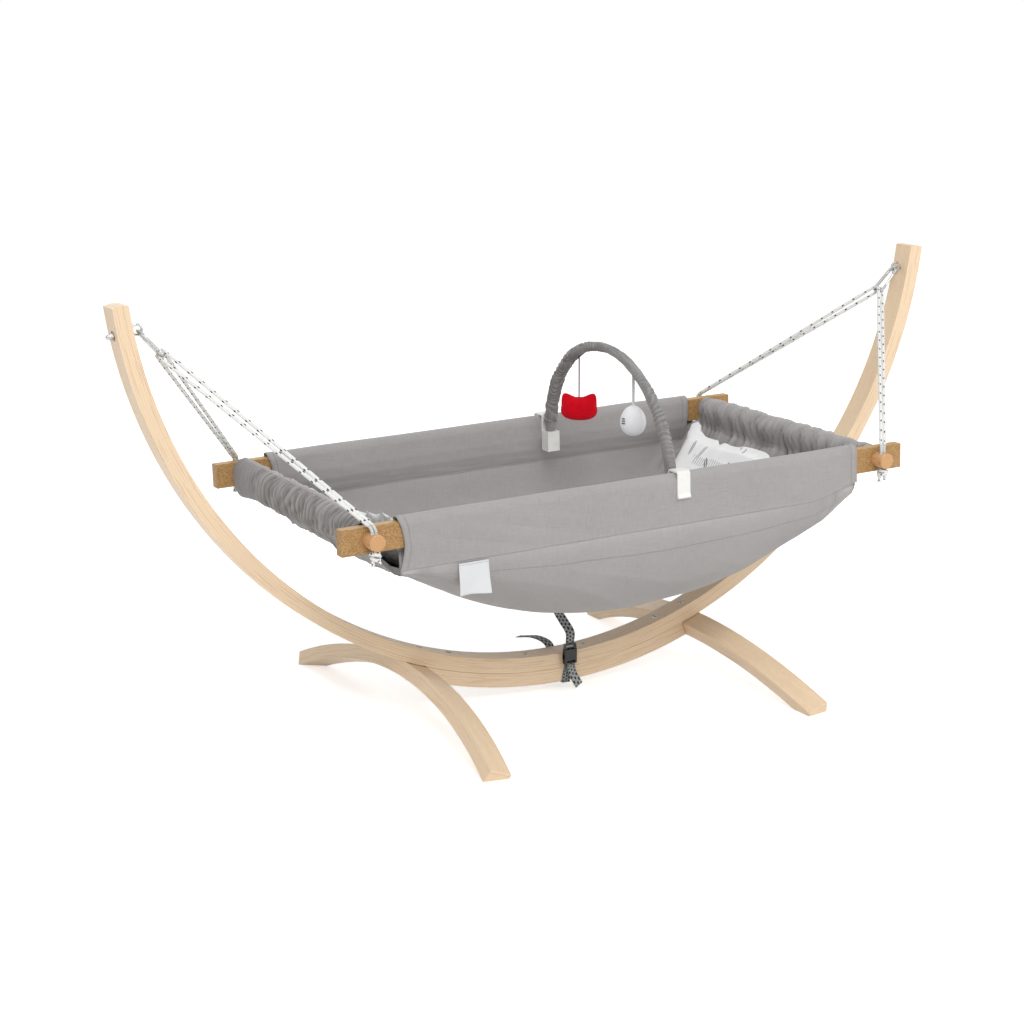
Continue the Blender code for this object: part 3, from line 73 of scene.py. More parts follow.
# Places shared with the fixed model, in metres
BOW_RADIUS = 0.7261
BOW_CENTRE = Vector((0, 0, BOW_RADIUS + 0.0646))
ARM_OUTER_RADIUS = BOW_RADIUS + 0.0256
FOOT_ANGLE = math.radians(20.65)
FOOT_RADIUS = 0.7845
EYE_PLACE = (math.radians(79.6), BOW_RADIUS - 0.0111)
SEAT_GAP = 0.0003
CRADLE = (
    Matrix.Translation((0.0069, 0.0, 0.381)) @ Matrix.Rotation(
        math.radians(-1.56), 4, "Z"
    ) @ Matrix.Rotation(math.radians(-1.52), 4, "Y")
)
RAIL_SPREAD = 0.2529
BAR_PLACE = 0.454
BAR_RADIUS = 0.0125
ROPE_HOLE_PLACE = 0.2744
SLEEVE_HALF_LENGTH = 0.410
SLEEVE_HALF_WIDTH = 0.0113
SLEEVE_TOP = 0.028
SLEEVE_SEAM = 0.057
SLING_HALF_LENGTH = 0.440
SLING_CLOTH_LENGTH = 1.08  # which the weave is drawn over
GATHER_CLOTH = (0.9, 0.14)  # which the weave is drawn over, gathered sleeves
SLING_CORNER = 0.029
SLING_EDGE = 0.2632
SLING_END_EDGE = 0.2419
ARCH = CRADLE @ Matrix.Translation((0.0965, 0, 0)) @ Matrix.Rotation(math.radians(-4.93), 4, "Z")
ARCH_HALF_SPAN = 0.22943 / math.cos(math.radians(4.93))
ARCH_HEIGHT = 0.1845
ARCH_TUBE_RADIUS = 0.0085
TOY_SPREAD = 0.103
TOY_TURN = math.radians(60.3)
ROPE_RADIUS = 0.0025
ROPE_PAIR_HALF = 0.0028
ROPE_SPAN_HALF = 0.0033


def size_property(name, description, default):
    return bpy.props.FloatProperty(name=name, description=description, default=default, unit="LENGTH")


class CradleSizes(bpy.types.PropertyGroup):
    """Sizes that a maker may change"""

    thread_spacing: size_property(
        "Thread spacing",
        "Distance between the canvas threads, drawn coarser than the real 0.5 mm so that it shows", 1.2 * MM
    )
    stitch_length: size_property("Stitch length", "Length of one sewn stitch with its gap", 4.5 * MM)
    ply_thickness: size_property(
        "Ply thickness",
        "Thickness of one veneer in the bow, drawn thicker than the real 1.4 mm so that it shows", 2.13 * MM
    )
    gather_spacing: size_property("Gather spacing", "Distance between the folds at both ends", 33 * MM)
    gather_depth: size_property("Gather depth", "How far the folds at both ends stand out", 6.5 * MM)
    cloth_thickness: size_property("Cloth thickness", "Thickness of the canvas", 1.2 * MM)
    pad_puff: size_property("Pad puff", "How far the pad's filling may swell", 6 * MM)
    floor_size: size_property("Floor size", "Length of one side of the studio floor", 60.0)


def shade_property(name, description, default):
    return bpy.props.StringProperty(name=name, description=description, default=default)


class CradleColours(bpy.types.PropertyGroup):
    """Colours as sRGB hex values"""

    birch: shade_property("Birch", "Face veneer of the bow and feet", "#F4DAB9")
    birch_dark: shade_property("Birch, dark grain", "Dark grain and end grain of the veneers", "#E4C49D")
    birch_glue: shade_property("Glue line", "Dark lines between the veneers", "#A5764A")
    board: shade_property("Speckled board", "Side rails", "#B58D58")
    board_dark: shade_property("Speckled board, dark", "Dark specks of the side rails", "#8A653A")
    # Pale specks of the board; also used as painted light on the rails' upward faces.
    board_pale_and_top_light: shade_property("Speckled board, pale", "Pale specks of the side rails", "#CCAB76")
    beech: shade_property("Beech", "Cross bars", "#D9A876")
    beech_dark: shade_property("Beech, dark", "Pores and rings of the cross bars", "#B07F4E")
    zinc: shade_property("Zinc plate", "Bolts, eyes and spring hooks", "#C9CAC8")
    canvas: shade_property("Canvas", "Sling and sleeves", "#A6A3A2")
    # Painted shade: a darker copy of the canvas for the left end's gathered sleeve, standing in for the
    # shade in its folds.
    canvas_painted_shade: shade_property(
        "Canvas, gathered", "Gathered canvas, which turns more of its shaded side", "#7B7776"
    )
    # Dark slub threads of the cloth, and the painted shade in the seam grooves.
    canvas_dark_and_seam_shade: shade_property("Canvas, dark", "Shaded threads and seam lines", "#84817F")
    rope: shade_property("Rope", "White braid", "#F4F4F1")
    rope_fleck: shade_property("Rope fleck", "Dark flecks in the braid", "#22262B")
    cotton: shade_property("Pad cotton", "Cover of the pad", "#FFFFFF")
    cotton_print: shade_property("Pad print", "Pale print on the pad", "#646F7C")
    label: shade_property("Label", "Blank woven label", "#DFE0E2")
    heather: shade_property("Arch fabric", "Gathered cover of the toy arch", "#979594")
    plastic: shade_property("White plastic", "Clips of the toy arch", "#F1F0EB")
    red: shade_property("Red felt", "Eared toy", "#DE0620")
    red_dark: shade_property("Red felt, dark", "Seam of the eared toy", "#8E0213")
    plush: shade_property("White felt", "Egg-shaped toy", "#FAFAFC")
    string: shade_property("String", "String of the eared toy", "#74121E")
    webbing: shade_property("Webbing", "Safety strap", "#A6ABA9")
    webbing_dot: shade_property("Webbing dots", "Woven dots of the strap", "#17191B")
    black: shade_property("Black plastic", "Buckle", "#101113")
    floor: shade_property("Floor", "Studio floor", "#F4F4F4")


def sizes():
    return bpy.context.scene.cradle_sizes


def linear(hex_colour):
    """One sRGB hex colour as a linear RGBA value."""
    made = []
    for index in (1, 3, 5):
        value = int(hex_colour[index : index + 2], 16) / 255
        made.append(value / 12.92 if value <= 0.04045 else ((value + 0.055) / 1.055) ** 2.4)
    return (*made, 1.0)


def colour(name):
    return linear(getattr(bpy.context.scene.cradle_colours, name))


def add_node(tree, kind, sockets=(), out=0, **settings):
    """Adds a node with its settings, sets or links its sockets, and returns its output.

    A dot and the node's mode may follow its kind, such as Math.SINE.
    """
    kind, _, mode = kind.partition(".")
    out = 2 if mode == "RGBA" else out
    made = tree.nodes.new("ShaderNode" + kind)
    if mode:
        settings["data_type" if kind == "Mix" else "operation"] = mode
    for key, value in settings.items():
        setattr(made, key, value)
    for key, value in sockets.items() if isinstance(sockets, dict) else enumerate(sockets):
        if isinstance(value, bpy.types.NodeSocket):
            tree.links.new(value, made.inputs[key])
        else:
            made.inputs[key].default_value = value
    return made.outputs[out] if made.outputs else made


def start_material(name, base, roughness, **values):
    """A material with its shader's constant values set.

    Returns the material, add_node for its tree, and the shader's sockets.
    """
    made = bpy.data.materials.new(name)
    made.use_nodes = True
    shader = made.node_tree.nodes["Principled BSDF"]
    shader.inputs["Base Color"].default_value = base
    shader.inputs["Roughness"].default_value = roughness
    for key, value in values.items():
        shader.inputs[key.replace("_", " ")].default_value = value
    return made, functools.partial(add_node, made.node_tree), shader.inputs


def join(output, socket):
    socket.id_data.links.new(output, socket)


def threads(add, place, spacing):
    """Height of a plain weave: warp and weft over and under each other."""
    split = add("SeparateXYZ", {0: place}).node
    turns = math.tau / (2 * spacing)
    warp = add("Math.SINE", [add("Math.MULTIPLY", [split.outputs[0], turns])])
    weft = add("Math.SINE", [add("Math.MULTIPLY", [split.outputs[1], turns])])
    return add("Math.MULTIPLY", [warp, weft])


def line_mask(add, value, places, half_width):
    """1 on each line where value equals one of the places, fading over half_width."""
    found = None
    for place in places:
        away = add("Math.ABSOLUTE", [add("Math.SUBTRACT", [value, place])])
        mask = add("MapRange", [away, half_width, half_width * 0.4])
        found = mask if found is None else add("Math.MAXIMUM", [found, mask])
    return found


# Materials


def birch_plywood(name, centre, turn):
    """Lacquered birch plywood bent round centre: veneer lines on its edges, long grain on its faces."""
    made, add, shader = start_material(name, colour("birch"), 0.42, Coat_Weight=0.12, Coat_Roughness=0.3)
    moved = add("VectorMath.SUBTRACT", {0: add("TexCoord", out=3), 1: centre})
    settings = {"rotation_type": "EULER_XYZ", "invert": True}
    local = add("VectorRotate", {"Vector": moved, "Rotation": turn}, **settings)
    facing = add("VectorRotate", {"Vector": add("TexCoord", out=1), "Rotation": turn}, **settings)
    split = add("SeparateXYZ", {0: local}).node
    a, b, c = split.outputs
    radius = add(
        "Math.SQRT", [add("Math.ADD", [add("Math.MULTIPLY", [a, a]), add("Math.MULTIPLY", [c, c])])]
    )
    run = add("Math.MULTIPLY", [add("Math.ARCTAN2", [a, c]), BOW_RADIUS])
    outward = add("VectorMath.NORMALIZE", {0: add("CombineXYZ", {0: a, 2: c})})
    flatness = add("VectorMath.DOT_PRODUCT", {0: outward, 1: facing}, out=1)
    on_face = add("MapRange", [add("Math.ABSOLUTE", [flatness]), 0.75, 0.9])

    layer = add("Math.DIVIDE", [radius, sizes().ply_thickness])
    wander = add("CombineXYZ", {0: add("Math.MULTIPLY", [run, 6.0]), 1: 0.0, 2: 0.0})
    layer = add(
        "Math.ADD",
        [
            layer,
            add(
                "MapRange",
                [add("TexNoise", {"Vector": wander, "Scale": 1.0, "Detail": 2.0}), 0.0, 1.0, -0.12, 0.12]
            )
        ]
    )
    odd = add("Math.PINGPONG", [layer, 1.0])
    edge_place = add("CombineXYZ", {0: run, 1: b, 2: add("Math.MULTIPLY", [radius, 12.0])})
    edge_grain = add("TexNoise", {"Vector": edge_place, "Scale": 1 / (5 * MM), "Detail": 3.0})
    layer_mix = add(
        "Math.MULTIPLY",
        [add("MapRange", [odd, 0.2, 0.8, 0.2, 0.7]), add("MapRange", [edge_grain, 0.3, 0.7, 0.1, 1.0])]
    )
    edges = add("Mix.RGBA", {0: layer_mix, 6: colour("birch"), 7: colour("birch_dark")})
    glue = line_mask(add, odd, (0.5,), 0.12)
    glue_long = add("CombineXYZ", {0: run, 1: 0.0, 2: add("Math.FLOOR", [layer])})
    glue = add(
        "Math.MULTIPLY",
        [
            glue,
            add(
                "MapRange",
                [
                    add("TexNoise", {"Vector": glue_long, "Scale": 1 / (90 * MM), "Detail": 2.0}), 0.5,
                    0.62, 0.05, 1.0
                ]
            )
        ]
    )
    edges = add("Mix.RGBA", {0: glue, 6: edges, 7: colour("birch_glue")})
    voids = add(
        "MapRange",
        [
            add("TexNoise", {"Vector": edge_place, "Scale": 1 / (14 * MM), "Detail": 1.0}), 0.70, 0.74, 0.0,
            0.8
        ]
    )
    edges = add("Mix.RGBA", {0: add("Math.MULTIPLY", [voids, glue]), 6: edges, 7: linear("#5B4228")})

    face_place = add("CombineXYZ", {0: run, 1: add("Math.MULTIPLY", [b, 14.0]), 2: radius})
    figure = add(
        "TexNoise", {"Vector": face_place, "Scale": 1 / (55 * MM), "Detail": 4.0, "Roughness": 0.6}
    )
    pores = add(
        "MapRange",
        [
            add("TexNoise", {"Vector": face_place, "Scale": 1 / (6 * MM), "Detail": 2.0}), 0.55, 0.75, 0.0,
            0.35
        ]
    )
    faces = add(
        "Mix.RGBA",
        {0: add("MapRange", [figure, 0.35, 0.75, 0.0, 0.55]), 6: colour("birch"), 7: colour("birch_dark")}
    )
    faces = add("Mix.RGBA", {0: pores, 6: faces, 7: colour("birch_glue")})
    join(add("Mix.RGBA", {0: on_face, 6: edges, 7: faces}), shader["Base Color"])
    join(add("MapRange", [edge_grain, 0.2, 0.8, 0.36, 0.55]), shader["Roughness"])
    join(
        add("Bump", {"Strength": 0.6, "Distance": -0.15 * MM, "Height": add("Math.ADD", [glue, pores])}),
        shader["Normal"]
    )
    return made


def speckled_board():
    """Particle board under satin lacquer: fine golden chips with dark and pale specks, cork-like."""
    made, add, shader = start_material("speckled particle board", colour("board"), 0.5)
    place = add("TexCoord", out=3)
    coarse = add("TexNoise", {"Vector": place, "Scale": 1 / (2.4 * MM), "Detail": 4.0, "Roughness": 0.75})
    chips = add("TexVoronoi", {"Vector": place, "Scale": 1 / (1.5 * MM)}, out=1)
    tint = add("SeparateColor", {0: chips}).node.outputs[0]
    body = add(
        "Mix.RGBA",
        {0: add("MapRange", [coarse, 0.35, 0.65, 0.0, 0.6]), 6: colour("board"), 7: colour("board_dark")}
    )
    body = add(
        "Mix.RGBA", {0: add("MapRange", [tint, 0.72, 0.95, 0.0, 0.5]), 6: body, 7: colour("board_pale_and_top_light")}
    )
    body = add(
        "Mix.RGBA", {0: add("MapRange", [tint, 0.24, 0.08, 0.0, 0.75]), 6: body, 7: colour("board_dark")}
    )
    # Painted light: faces turned upward are lightened towards the pale speck colour.
    upward = add("SeparateXYZ", {0: add("TexCoord", out=1)}).node.outputs[2]
    top = add("MapRange", [upward, 0.8, 0.95, 0.0, 0.45])
    join(add("Mix.RGBA", {0: top, 6: body, 7: colour("board_pale_and_top_light")}), shader["Base Color"])
    join(add("MapRange", [coarse, 0.3, 0.7, 0.42, 0.62]), shader["Roughness"])
    join(add("Bump", {"Strength": 0.6, "Distance": 0.2 * MM, "Height": coarse}), shader["Normal"])
    return made


def turned_beech(name, end):
    """Turned beech rod, oiled: fleck-like pores along it, rings on its sawn ends."""
    made, add, shader = start_material(name, colour("beech"), 0.45)
    place = add("TexCoord", out=3)
    axis = CRADLE @ Vector((end * BAR_PLACE, 0, 0))
    centred = add("VectorMath.SUBTRACT", {0: place, 1: axis})
    long = add("VectorMath.MULTIPLY", {0: centred, 1: (1, 0.08, 1)})
    pores = add("TexNoise", {"Vector": long, "Scale": 1 / (2.2 * MM), "Detail": 2.0})
    rings = add(
        "TexWave",
        {
            "Vector": centred, "Scale": 0.314 / (3.2 * MM), "Distortion": 1.5, "Detail": 2.0,
            "Detail Scale": 1.0
        },
        out=1, wave_type="RINGS", rings_direction="Y"
    )
    facing = add("SeparateXYZ", {0: add("TexCoord", out=1)}).node.outputs[1]
    sawn = add("MapRange", [add("Math.ABSOLUTE", [facing]), 0.7, 0.9])
    side = add(
        "Mix.RGBA",
        {0: add("MapRange", [pores, 0.5, 0.75, 0.0, 0.6]), 6: colour("beech"), 7: colour("beech_dark")}
    )
    cut = add(
        "Mix.RGBA",
        {0: add("MapRange", [rings, 0.3, 0.9, 0.1, 0.6]), 6: colour("beech"), 7: colour("beech_dark")}
    )
    join(add("Mix.RGBA", {0: sawn, 6: side, 7: cut}), shader["Base Color"])
    join(add("MapRange", [pores, 0.3, 0.7, 0.4, 0.55]), shader["Roughness"])
    join(add("Bump", {"Strength": 0.6, "Distance": -0.1 * MM, "Height": pores}), shader["Normal"])
    return made


def zinc_plated_steel():
    """Bright zinc plate over drawn steel: a pale grey metal with a faint mottle."""
    made, add, shader = start_material("zinc plated steel", colour("zinc"), 0.28, Metallic=1.0)
    mottle = add("TexNoise", {"Vector": add("TexCoord", out=3), "Scale": 1 / (3 * MM), "Detail": 2.0})
    join(
        add("Mix.RGBA", {0: add("MapRange", [mottle, 0.3, 0.7]), 6: colour("zinc"), 7: linear("#A9ABAC")}),
        shader["Base Color"]
    )
    join(add("MapRange", [mottle, 0.3, 0.7, 0.2, 0.38]), shader["Roughness"])
    join(
        add(
            "Bump",
            {
                "Strength": 0.6, "Distance": 0.03 * MM,
                "Height": add(
                    "TexNoise", {"Vector": add("TexCoord", out=3), "Scale": 1 / (0.6 * MM), "Detail": 2.0}
                )
            }
        ),
        shader["Normal"]
    )
    return made


def grey_canvas(name, base="canvas", lines=(), hems=(), slub=1.0):
    """Cotton canvas, plain woven and dyed in the cloth: dull, with slubs, with painted shade in its fold
    valleys and seam grooves and painted light on its fold crests.

    lines and hems are its stitched seams.
    """
    made, add, shader = start_material(name, colour(base), 0.88, Sheen_Weight=0.25, Sheen_Roughness=0.5)
    place = add("UVMap", uv_map="cloth")
    split = add("SeparateXYZ", {0: place}).node
    along, across = split.outputs[0], split.outputs[1]
    weave = threads(add, place, sizes().thread_spacing)
    warp = add("VectorMath.MULTIPLY", {0: place, 1: (1, 18, 1)})
    weft = add("VectorMath.MULTIPLY", {0: place, 1: (18, 1, 1)})
    slubs = add(
        "Math.ADD",
        [
            add("TexNoise", {"Vector": warp, "Scale": 1 / (22 * MM), "Detail": 2.0}),
            add("TexNoise", {"Vector": weft, "Scale": 1 / (22 * MM), "Detail": 2.0})
        ]
    )
    patches = add("TexNoise", {"Vector": place, "Scale": 1 / (140 * MM), "Detail": 3.0})
    tone = add(
        "Mix.RGBA",
        {
            0: add("MapRange", [slubs, 0.75, 1.3, 0.0, 0.38 * slub]), 6: colour(base),
            7: colour("canvas_dark_and_seam_shade")
        }
    )
    tone = add(
        "Mix.RGBA", {0: add("MapRange", [patches, 0.35, 0.7, 0.0, 0.2]), 6: tone, 7: linear("#B7B3B1")}
    )
    tone = add(
        "Mix.RGBA", {0: add("MapRange", [weave, -1.0, 1.0, 0.0, 0.06]), 6: tone, 7: colour("canvas_dark_and_seam_shade")}
    )
    height = add("Math.ADD", [add("Math.MULTIPLY", [weave, 0.35]), add("Math.MULTIPLY", [slubs, 0.5])])
    for value, other, places in ((across, along, lines), (along, across, hems)):
        if not places:
            continue
        groove = line_mask(add, value, places, 1.6 * MM)
        beat = add("Math.FRACT", [add("Math.DIVIDE", [other, sizes().stitch_length])])
        stitch = add(
            "Math.MULTIPLY", [line_mask(add, value, places, 0.8 * MM), add("MapRange", [beat, 0.3, 0.36])]
        )
        # Painted shade in the seam's groove, with the dark canvas colour.
        tone = add("Mix.RGBA", {0: add("Math.MULTIPLY", [groove, 0.55]), 6: tone, 7: colour("canvas_dark_and_seam_shade")})
        tone = add("Mix.RGBA", {0: add("Math.MULTIPLY", [stitch, 0.5]), 6: tone, 7: linear("#A9A8A5")})
        height = add("Math.SUBTRACT", [height, add("Math.MULTIPLY", [groove, 2.0])])
    valley = add("Attribute", out=2, attribute_name="valley")
    # Painted shade darkens the fold valleys towards #4E4C4B, and painted light lightens the fold crests
    # towards #C9C6C4.
    tone = add(
        "Mix.RGBA", {0: add("MapRange", [valley, 0.54, 0.95, 0.0, 0.66]), 6: tone, 7: linear("#4E4C4B")}
    )
    tone = add(
        "Mix.RGBA", {0: add("MapRange", [valley, 0.45, 0.1, 0.0, 0.36]), 6: tone, 7: linear("#C9C6C4")}
    )
    join(tone, shader["Base Color"])
    join(add("MapRange", [slubs, 0.7, 1.3, 0.8, 0.94]), shader["Roughness"])
    join(add("Bump", {"Strength": 0.6, "Distance": 0.35 * MM, "Height": height}), shader["Normal"])
    return made


def flecked_rope():
    """Braided polyester cord: white plaits with dark flecks in pairs, slightly shiny."""
    made, add, shader = start_material("flecked braided rope", colour("rope"), 0.6, Sheen_Weight=0.2)
    split = add("SeparateXYZ", {0: add("UVMap", uv_map="cloth")}).node
    along, round_it = split.outputs[0], split.outputs[1]
    lay = add("Math.DIVIDE", [along, 3.4 * MM])
    turn = add("Math.DIVIDE", [round_it, math.pi * ROPE_RADIUS])
    left = add(
        "Math.SINE",
        [add("Math.MULTIPLY", [add("Math.ADD", [lay, add("Math.MULTIPLY", [turn, 2.0])]), math.tau])]
    )
    right = add(
        "Math.SINE",
        [add("Math.MULTIPLY", [add("Math.SUBTRACT", [lay, add("Math.MULTIPLY", [turn, 2.0])]), math.tau])]
    )
    plait = add("Math.MULTIPLY", [left, right])
    half = add("Math.FLOOR", [add("Math.MULTIPLY", [turn, 2.0])])
    step = add("Math.ADD", [add("Math.DIVIDE", [along, 13.5 * MM]), add("Math.MULTIPLY", [half, 0.17])])
    beat = add("Math.ABSOLUTE", [add("Math.SUBTRACT", [add("Math.FRACT", [step]), 0.5])])
    side = add(
        "Math.ABSOLUTE",
        [add("Math.SUBTRACT", [add("Math.FRACT", [add("Math.MULTIPLY", [turn, 2.0])]), 0.5])]
    )
    fleck = add("Math.MULTIPLY", [add("MapRange", [beat, 0.095, 0.07]), add("MapRange", [side, 0.3, 0.22])])
    # Painted shade: the grooves between the plaits darken towards #C4C6C6.
    tone = add(
        "Mix.RGBA",
        {0: add("MapRange", [plait, 0.2, -0.8, 0.0, 0.14]), 6: colour("rope"), 7: linear("#C4C6C6")}
    )
    join(add("Mix.RGBA", {0: fleck, 6: tone, 7: colour("rope_fleck")}), shader["Base Color"])
    join(add("MapRange", [plait, -1.0, 1.0, 0.7, 0.55]), shader["Roughness"])
    join(add("Bump", {"Strength": 0.6, "Distance": 0.5 * MM, "Height": plait}), shader["Normal"])
    return made


def printed_cotton():
    """Soft cotton percale over wadding: white, with a scattered grey print of leaves and rows of strokes."""
    made, add, shader = start_material(
        "printed cotton", colour("cotton"), 0.8, Sheen_Weight=0.2, Sheen_Roughness=0.5
    )
    place = add("UVMap", uv_map="cloth")
    cells = add("TexVoronoi", {"Vector": place, "Scale": 1 / (34 * MM), "Randomness": 0.7}).node
    away = add(
        "VectorMath.MULTIPLY",
        {0: add("VectorMath.SUBTRACT", {0: place, 1: cells.outputs["Position"]}), 1: (1 / (34 * MM),) * 3}
    )
    tint = add("SeparateColor", {0: cells.outputs["Color"]}).node
    turned = add(
        "VectorRotate", {"Vector": away, "Angle": add("Math.MULTIPLY", [tint.outputs[1], math.tau])},
        rotation_type="Z_AXIS"
    )
    leaf = add("SeparateXYZ", {0: turned}).node
    width = add("Math.MULTIPLY", [leaf.outputs[1], 3.2])
    shape = add(
        "Math.ADD",
        [add("Math.MULTIPLY", [leaf.outputs[0], leaf.outputs[0]]), add("Math.MULTIPLY", [width, width])]
    )
    inside = add("MapRange", [shape, 0.11, 0.09])
    vein = add("MapRange", [add("Math.ABSOLUTE", [leaf.outputs[1]]), 0.012, 0.03, 0.25, 1.0])
    chosen = add("MapRange", [tint.outputs[0], 0.2, 0.21])
    print_mask = add("Math.MULTIPLY", [add("Math.MULTIPLY", [inside, vein]), chosen])
    strength = add("Math.MULTIPLY", [print_mask, add("MapRange", [tint.outputs[2], 0.0, 1.0, 0.5, 1.0])])
    spot = add("SeparateXYZ", {0: place}).node
    row = add("Math.FRACT", [add("Math.DIVIDE", [spot.outputs[0], 96 * MM])])
    in_row = add("MapRange", [add("Math.ABSOLUTE", [add("Math.SUBTRACT", [row, 0.62])]), 0.058, 0.05])
    beat = add(
        "Math.ABSOLUTE",
        [add("Math.SUBTRACT", [add("Math.FRACT", [add("Math.DIVIDE", [spot.outputs[1], 6 * MM])]), 0.5])]
    )
    where = add(
        "MapRange", [add("TexNoise", {"Vector": place, "Scale": 1 / (120 * MM), "Detail": 0.0}), 0.42, 0.43]
    )
    strokes = add(
        "Math.MULTIPLY", [add("Math.MULTIPLY", [in_row, add("MapRange", [beat, 0.2, 0.14])]), where]
    )
    strength = add("Math.MAXIMUM", [strength, add("Math.MULTIPLY", [strokes, 0.6])])
    creases = add("TexNoise", {"Vector": place, "Scale": 1 / (30 * MM), "Detail": 4.0, "Roughness": 0.6})
    # Painted shade: the cover darkens towards #D5D8DC with the crease noise, which also drives the bump.
    tone = add(
        "Mix.RGBA",
        {0: add("MapRange", [creases, 0.4, 0.7, 0.0, 0.18]), 6: colour("cotton"), 7: linear("#D5D8DC")}
    )
    join(add("Mix.RGBA", {0: strength, 6: tone, 7: colour("cotton_print")}), shader["Base Color"])
    join(add("MapRange", [creases, 0.3, 0.7, 0.75, 0.88]), shader["Roughness"])
    height = add("Math.ADD", [add("Math.MULTIPLY", [creases, 3.0]), threads(add, place, 1.0 * MM)])
    join(add("Bump", {"Strength": 0.6, "Distance": 0.4 * MM, "Height": height}), shader["Normal"])
    return made


def woven_label():
    """Polyester satin label, cut hot: smooth, nearly white, with a stitched edge and nothing on it."""
    made, add, shader = start_material("woven satin label", colour("label"), 0.5, Sheen_Weight=0.3)
    place = add("UVMap", uv_map="cloth")
    split = add("SeparateXYZ", {0: place}).node
    fine = threads(add, place, 0.8 * MM)
    fold = line_mask(add, split.outputs[1], (3 * MM,), 0.9 * MM)
    beat = add("Math.FRACT", [add("Math.DIVIDE", [split.outputs[0], 3 * MM])])
    stitch = add("Math.MULTIPLY", [fold, add("MapRange", [beat, 0.3, 0.4])])
    tone = add(
        "Mix.RGBA",
        {0: add("MapRange", [fine, -1.0, 1.0, 0.0, 0.2]), 6: colour("label"), 7: linear("#D9DBDE")}
    )
    join(add("Mix.RGBA", {0: stitch, 6: tone, 7: linear("#A4A8AC")}), shader["Base Color"])
    join(add("MapRange", [fine, -1.0, 1.0, 0.42, 0.6]), shader["Roughness"])
    join(add("Bump", {"Strength": 0.6, "Distance": 0.15 * MM, "Height": fine}), shader["Normal"])
    return made


def felt(name, base, dark, fuzz=1.0):
    """Needled felt: matt, with short loose fibres that catch the light."""
    made, add, shader = start_material(name, colour(base), 0.92, Sheen_Weight=0.04, Specular_IOR_Level=0.12)
    place = add("TexCoord", out=3)
    fibres = add("TexNoise", {"Vector": place, "Scale": 1 / (1.1 * MM), "Detail": 4.0, "Roughness": 0.7})
    clumps = add("TexNoise", {"Vector": place, "Scale": 1 / (9 * MM), "Detail": 2.0})
    mixed = add("Math.ADD", [add("Math.MULTIPLY", [fibres, 0.6]), add("Math.MULTIPLY", [clumps, 0.4])])
    join(
        add("Mix.RGBA", {0: add("MapRange", [mixed, 0.6, 0.36, 0.0, 0.4]), 6: colour(base), 7: dark}),
        shader["Base Color"]
    )
    join(add("MapRange", [fibres, 0.2, 0.8, 0.85, 0.97]), shader["Roughness"])
    join(add("Bump", {"Strength": 0.8, "Distance": 0.5 * MM * fuzz, "Height": fibres}), shader["Normal"])
    return made


def moulded_plastic(name, base, roughness, grain):
    """Injection-moulded plastic with a fine spark-eroded texture."""
    made, add, shader = start_material(name, colour(base), roughness, Coat_Weight=0.1, Coat_Roughness=0.2)
    texture = add("TexNoise", {"Vector": add("TexCoord", out=3), "Scale": 1 / grain, "Detail": 2.0})
    wear = add("TexNoise", {"Vector": add("TexCoord", out=3), "Scale": 1 / (18 * MM), "Detail": 3.0})
    shade = [channel * 0.88 for channel in colour(base)[:3]] + [1.0]
    join(
        add("Mix.RGBA", {0: add("MapRange", [wear, 0.4, 0.7, 0.0, 0.5]), 6: colour(base), 7: shade}),
        shader["Base Color"]
    )
    join(add("MapRange", [texture, 0.2, 0.8, roughness * 0.8, roughness * 1.25]), shader["Roughness"])
    join(add("Bump", {"Strength": 0.6, "Distance": 0.05 * MM, "Height": texture}), shader["Normal"])
    return made


def dotted_webbing():
    """Polyester webbing: ribbed across, grey with woven dark dots, and firm edges."""
    made, add, shader = start_material("dotted webbing", colour("webbing"), 0.75, Sheen_Weight=0.2)
    split = add("SeparateXYZ", {0: add("UVMap", uv_map="cloth")}).node
    along, across = split.outputs[0], split.outputs[1]
    rib = add("Math.SINE", [add("Math.MULTIPLY", [along, math.tau / (1.6 * MM)])])
    row = add("Math.DIVIDE", [across, 5.0 * MM])
    shift = add("Math.MULTIPLY", [add("Math.FLOOR", [row]), 0.5])
    column = add("Math.ADD", [add("Math.DIVIDE", [along, 6.4 * MM]), shift])
    x = add("Math.ABSOLUTE", [add("Math.SUBTRACT", [add("Math.FRACT", [column]), 0.5])])
    y = add("Math.ABSOLUTE", [add("Math.SUBTRACT", [add("Math.FRACT", [row]), 0.5])])
    dot = add("Math.MULTIPLY", [add("MapRange", [x, 0.29, 0.25]), add("MapRange", [y, 0.34, 0.28])])
    edge = line_mask(add, across, (0.0, 15 * MM), 1.2 * MM)
    tone = add("Mix.RGBA", {0: dot, 6: colour("webbing"), 7: colour("webbing_dot")})
    tone = add("Mix.RGBA", {0: add("Math.MULTIPLY", [edge, 0.5]), 6: tone, 7: colour("webbing_dot")})
    join(tone, shader["Base Color"])
    join(add("MapRange", [rib, -1.0, 1.0, 0.65, 0.8]), shader["Roughness"])
    join(add("Bump", {"Strength": 0.6, "Distance": 0.3 * MM, "Height": rib}), shader["Normal"])
    return made


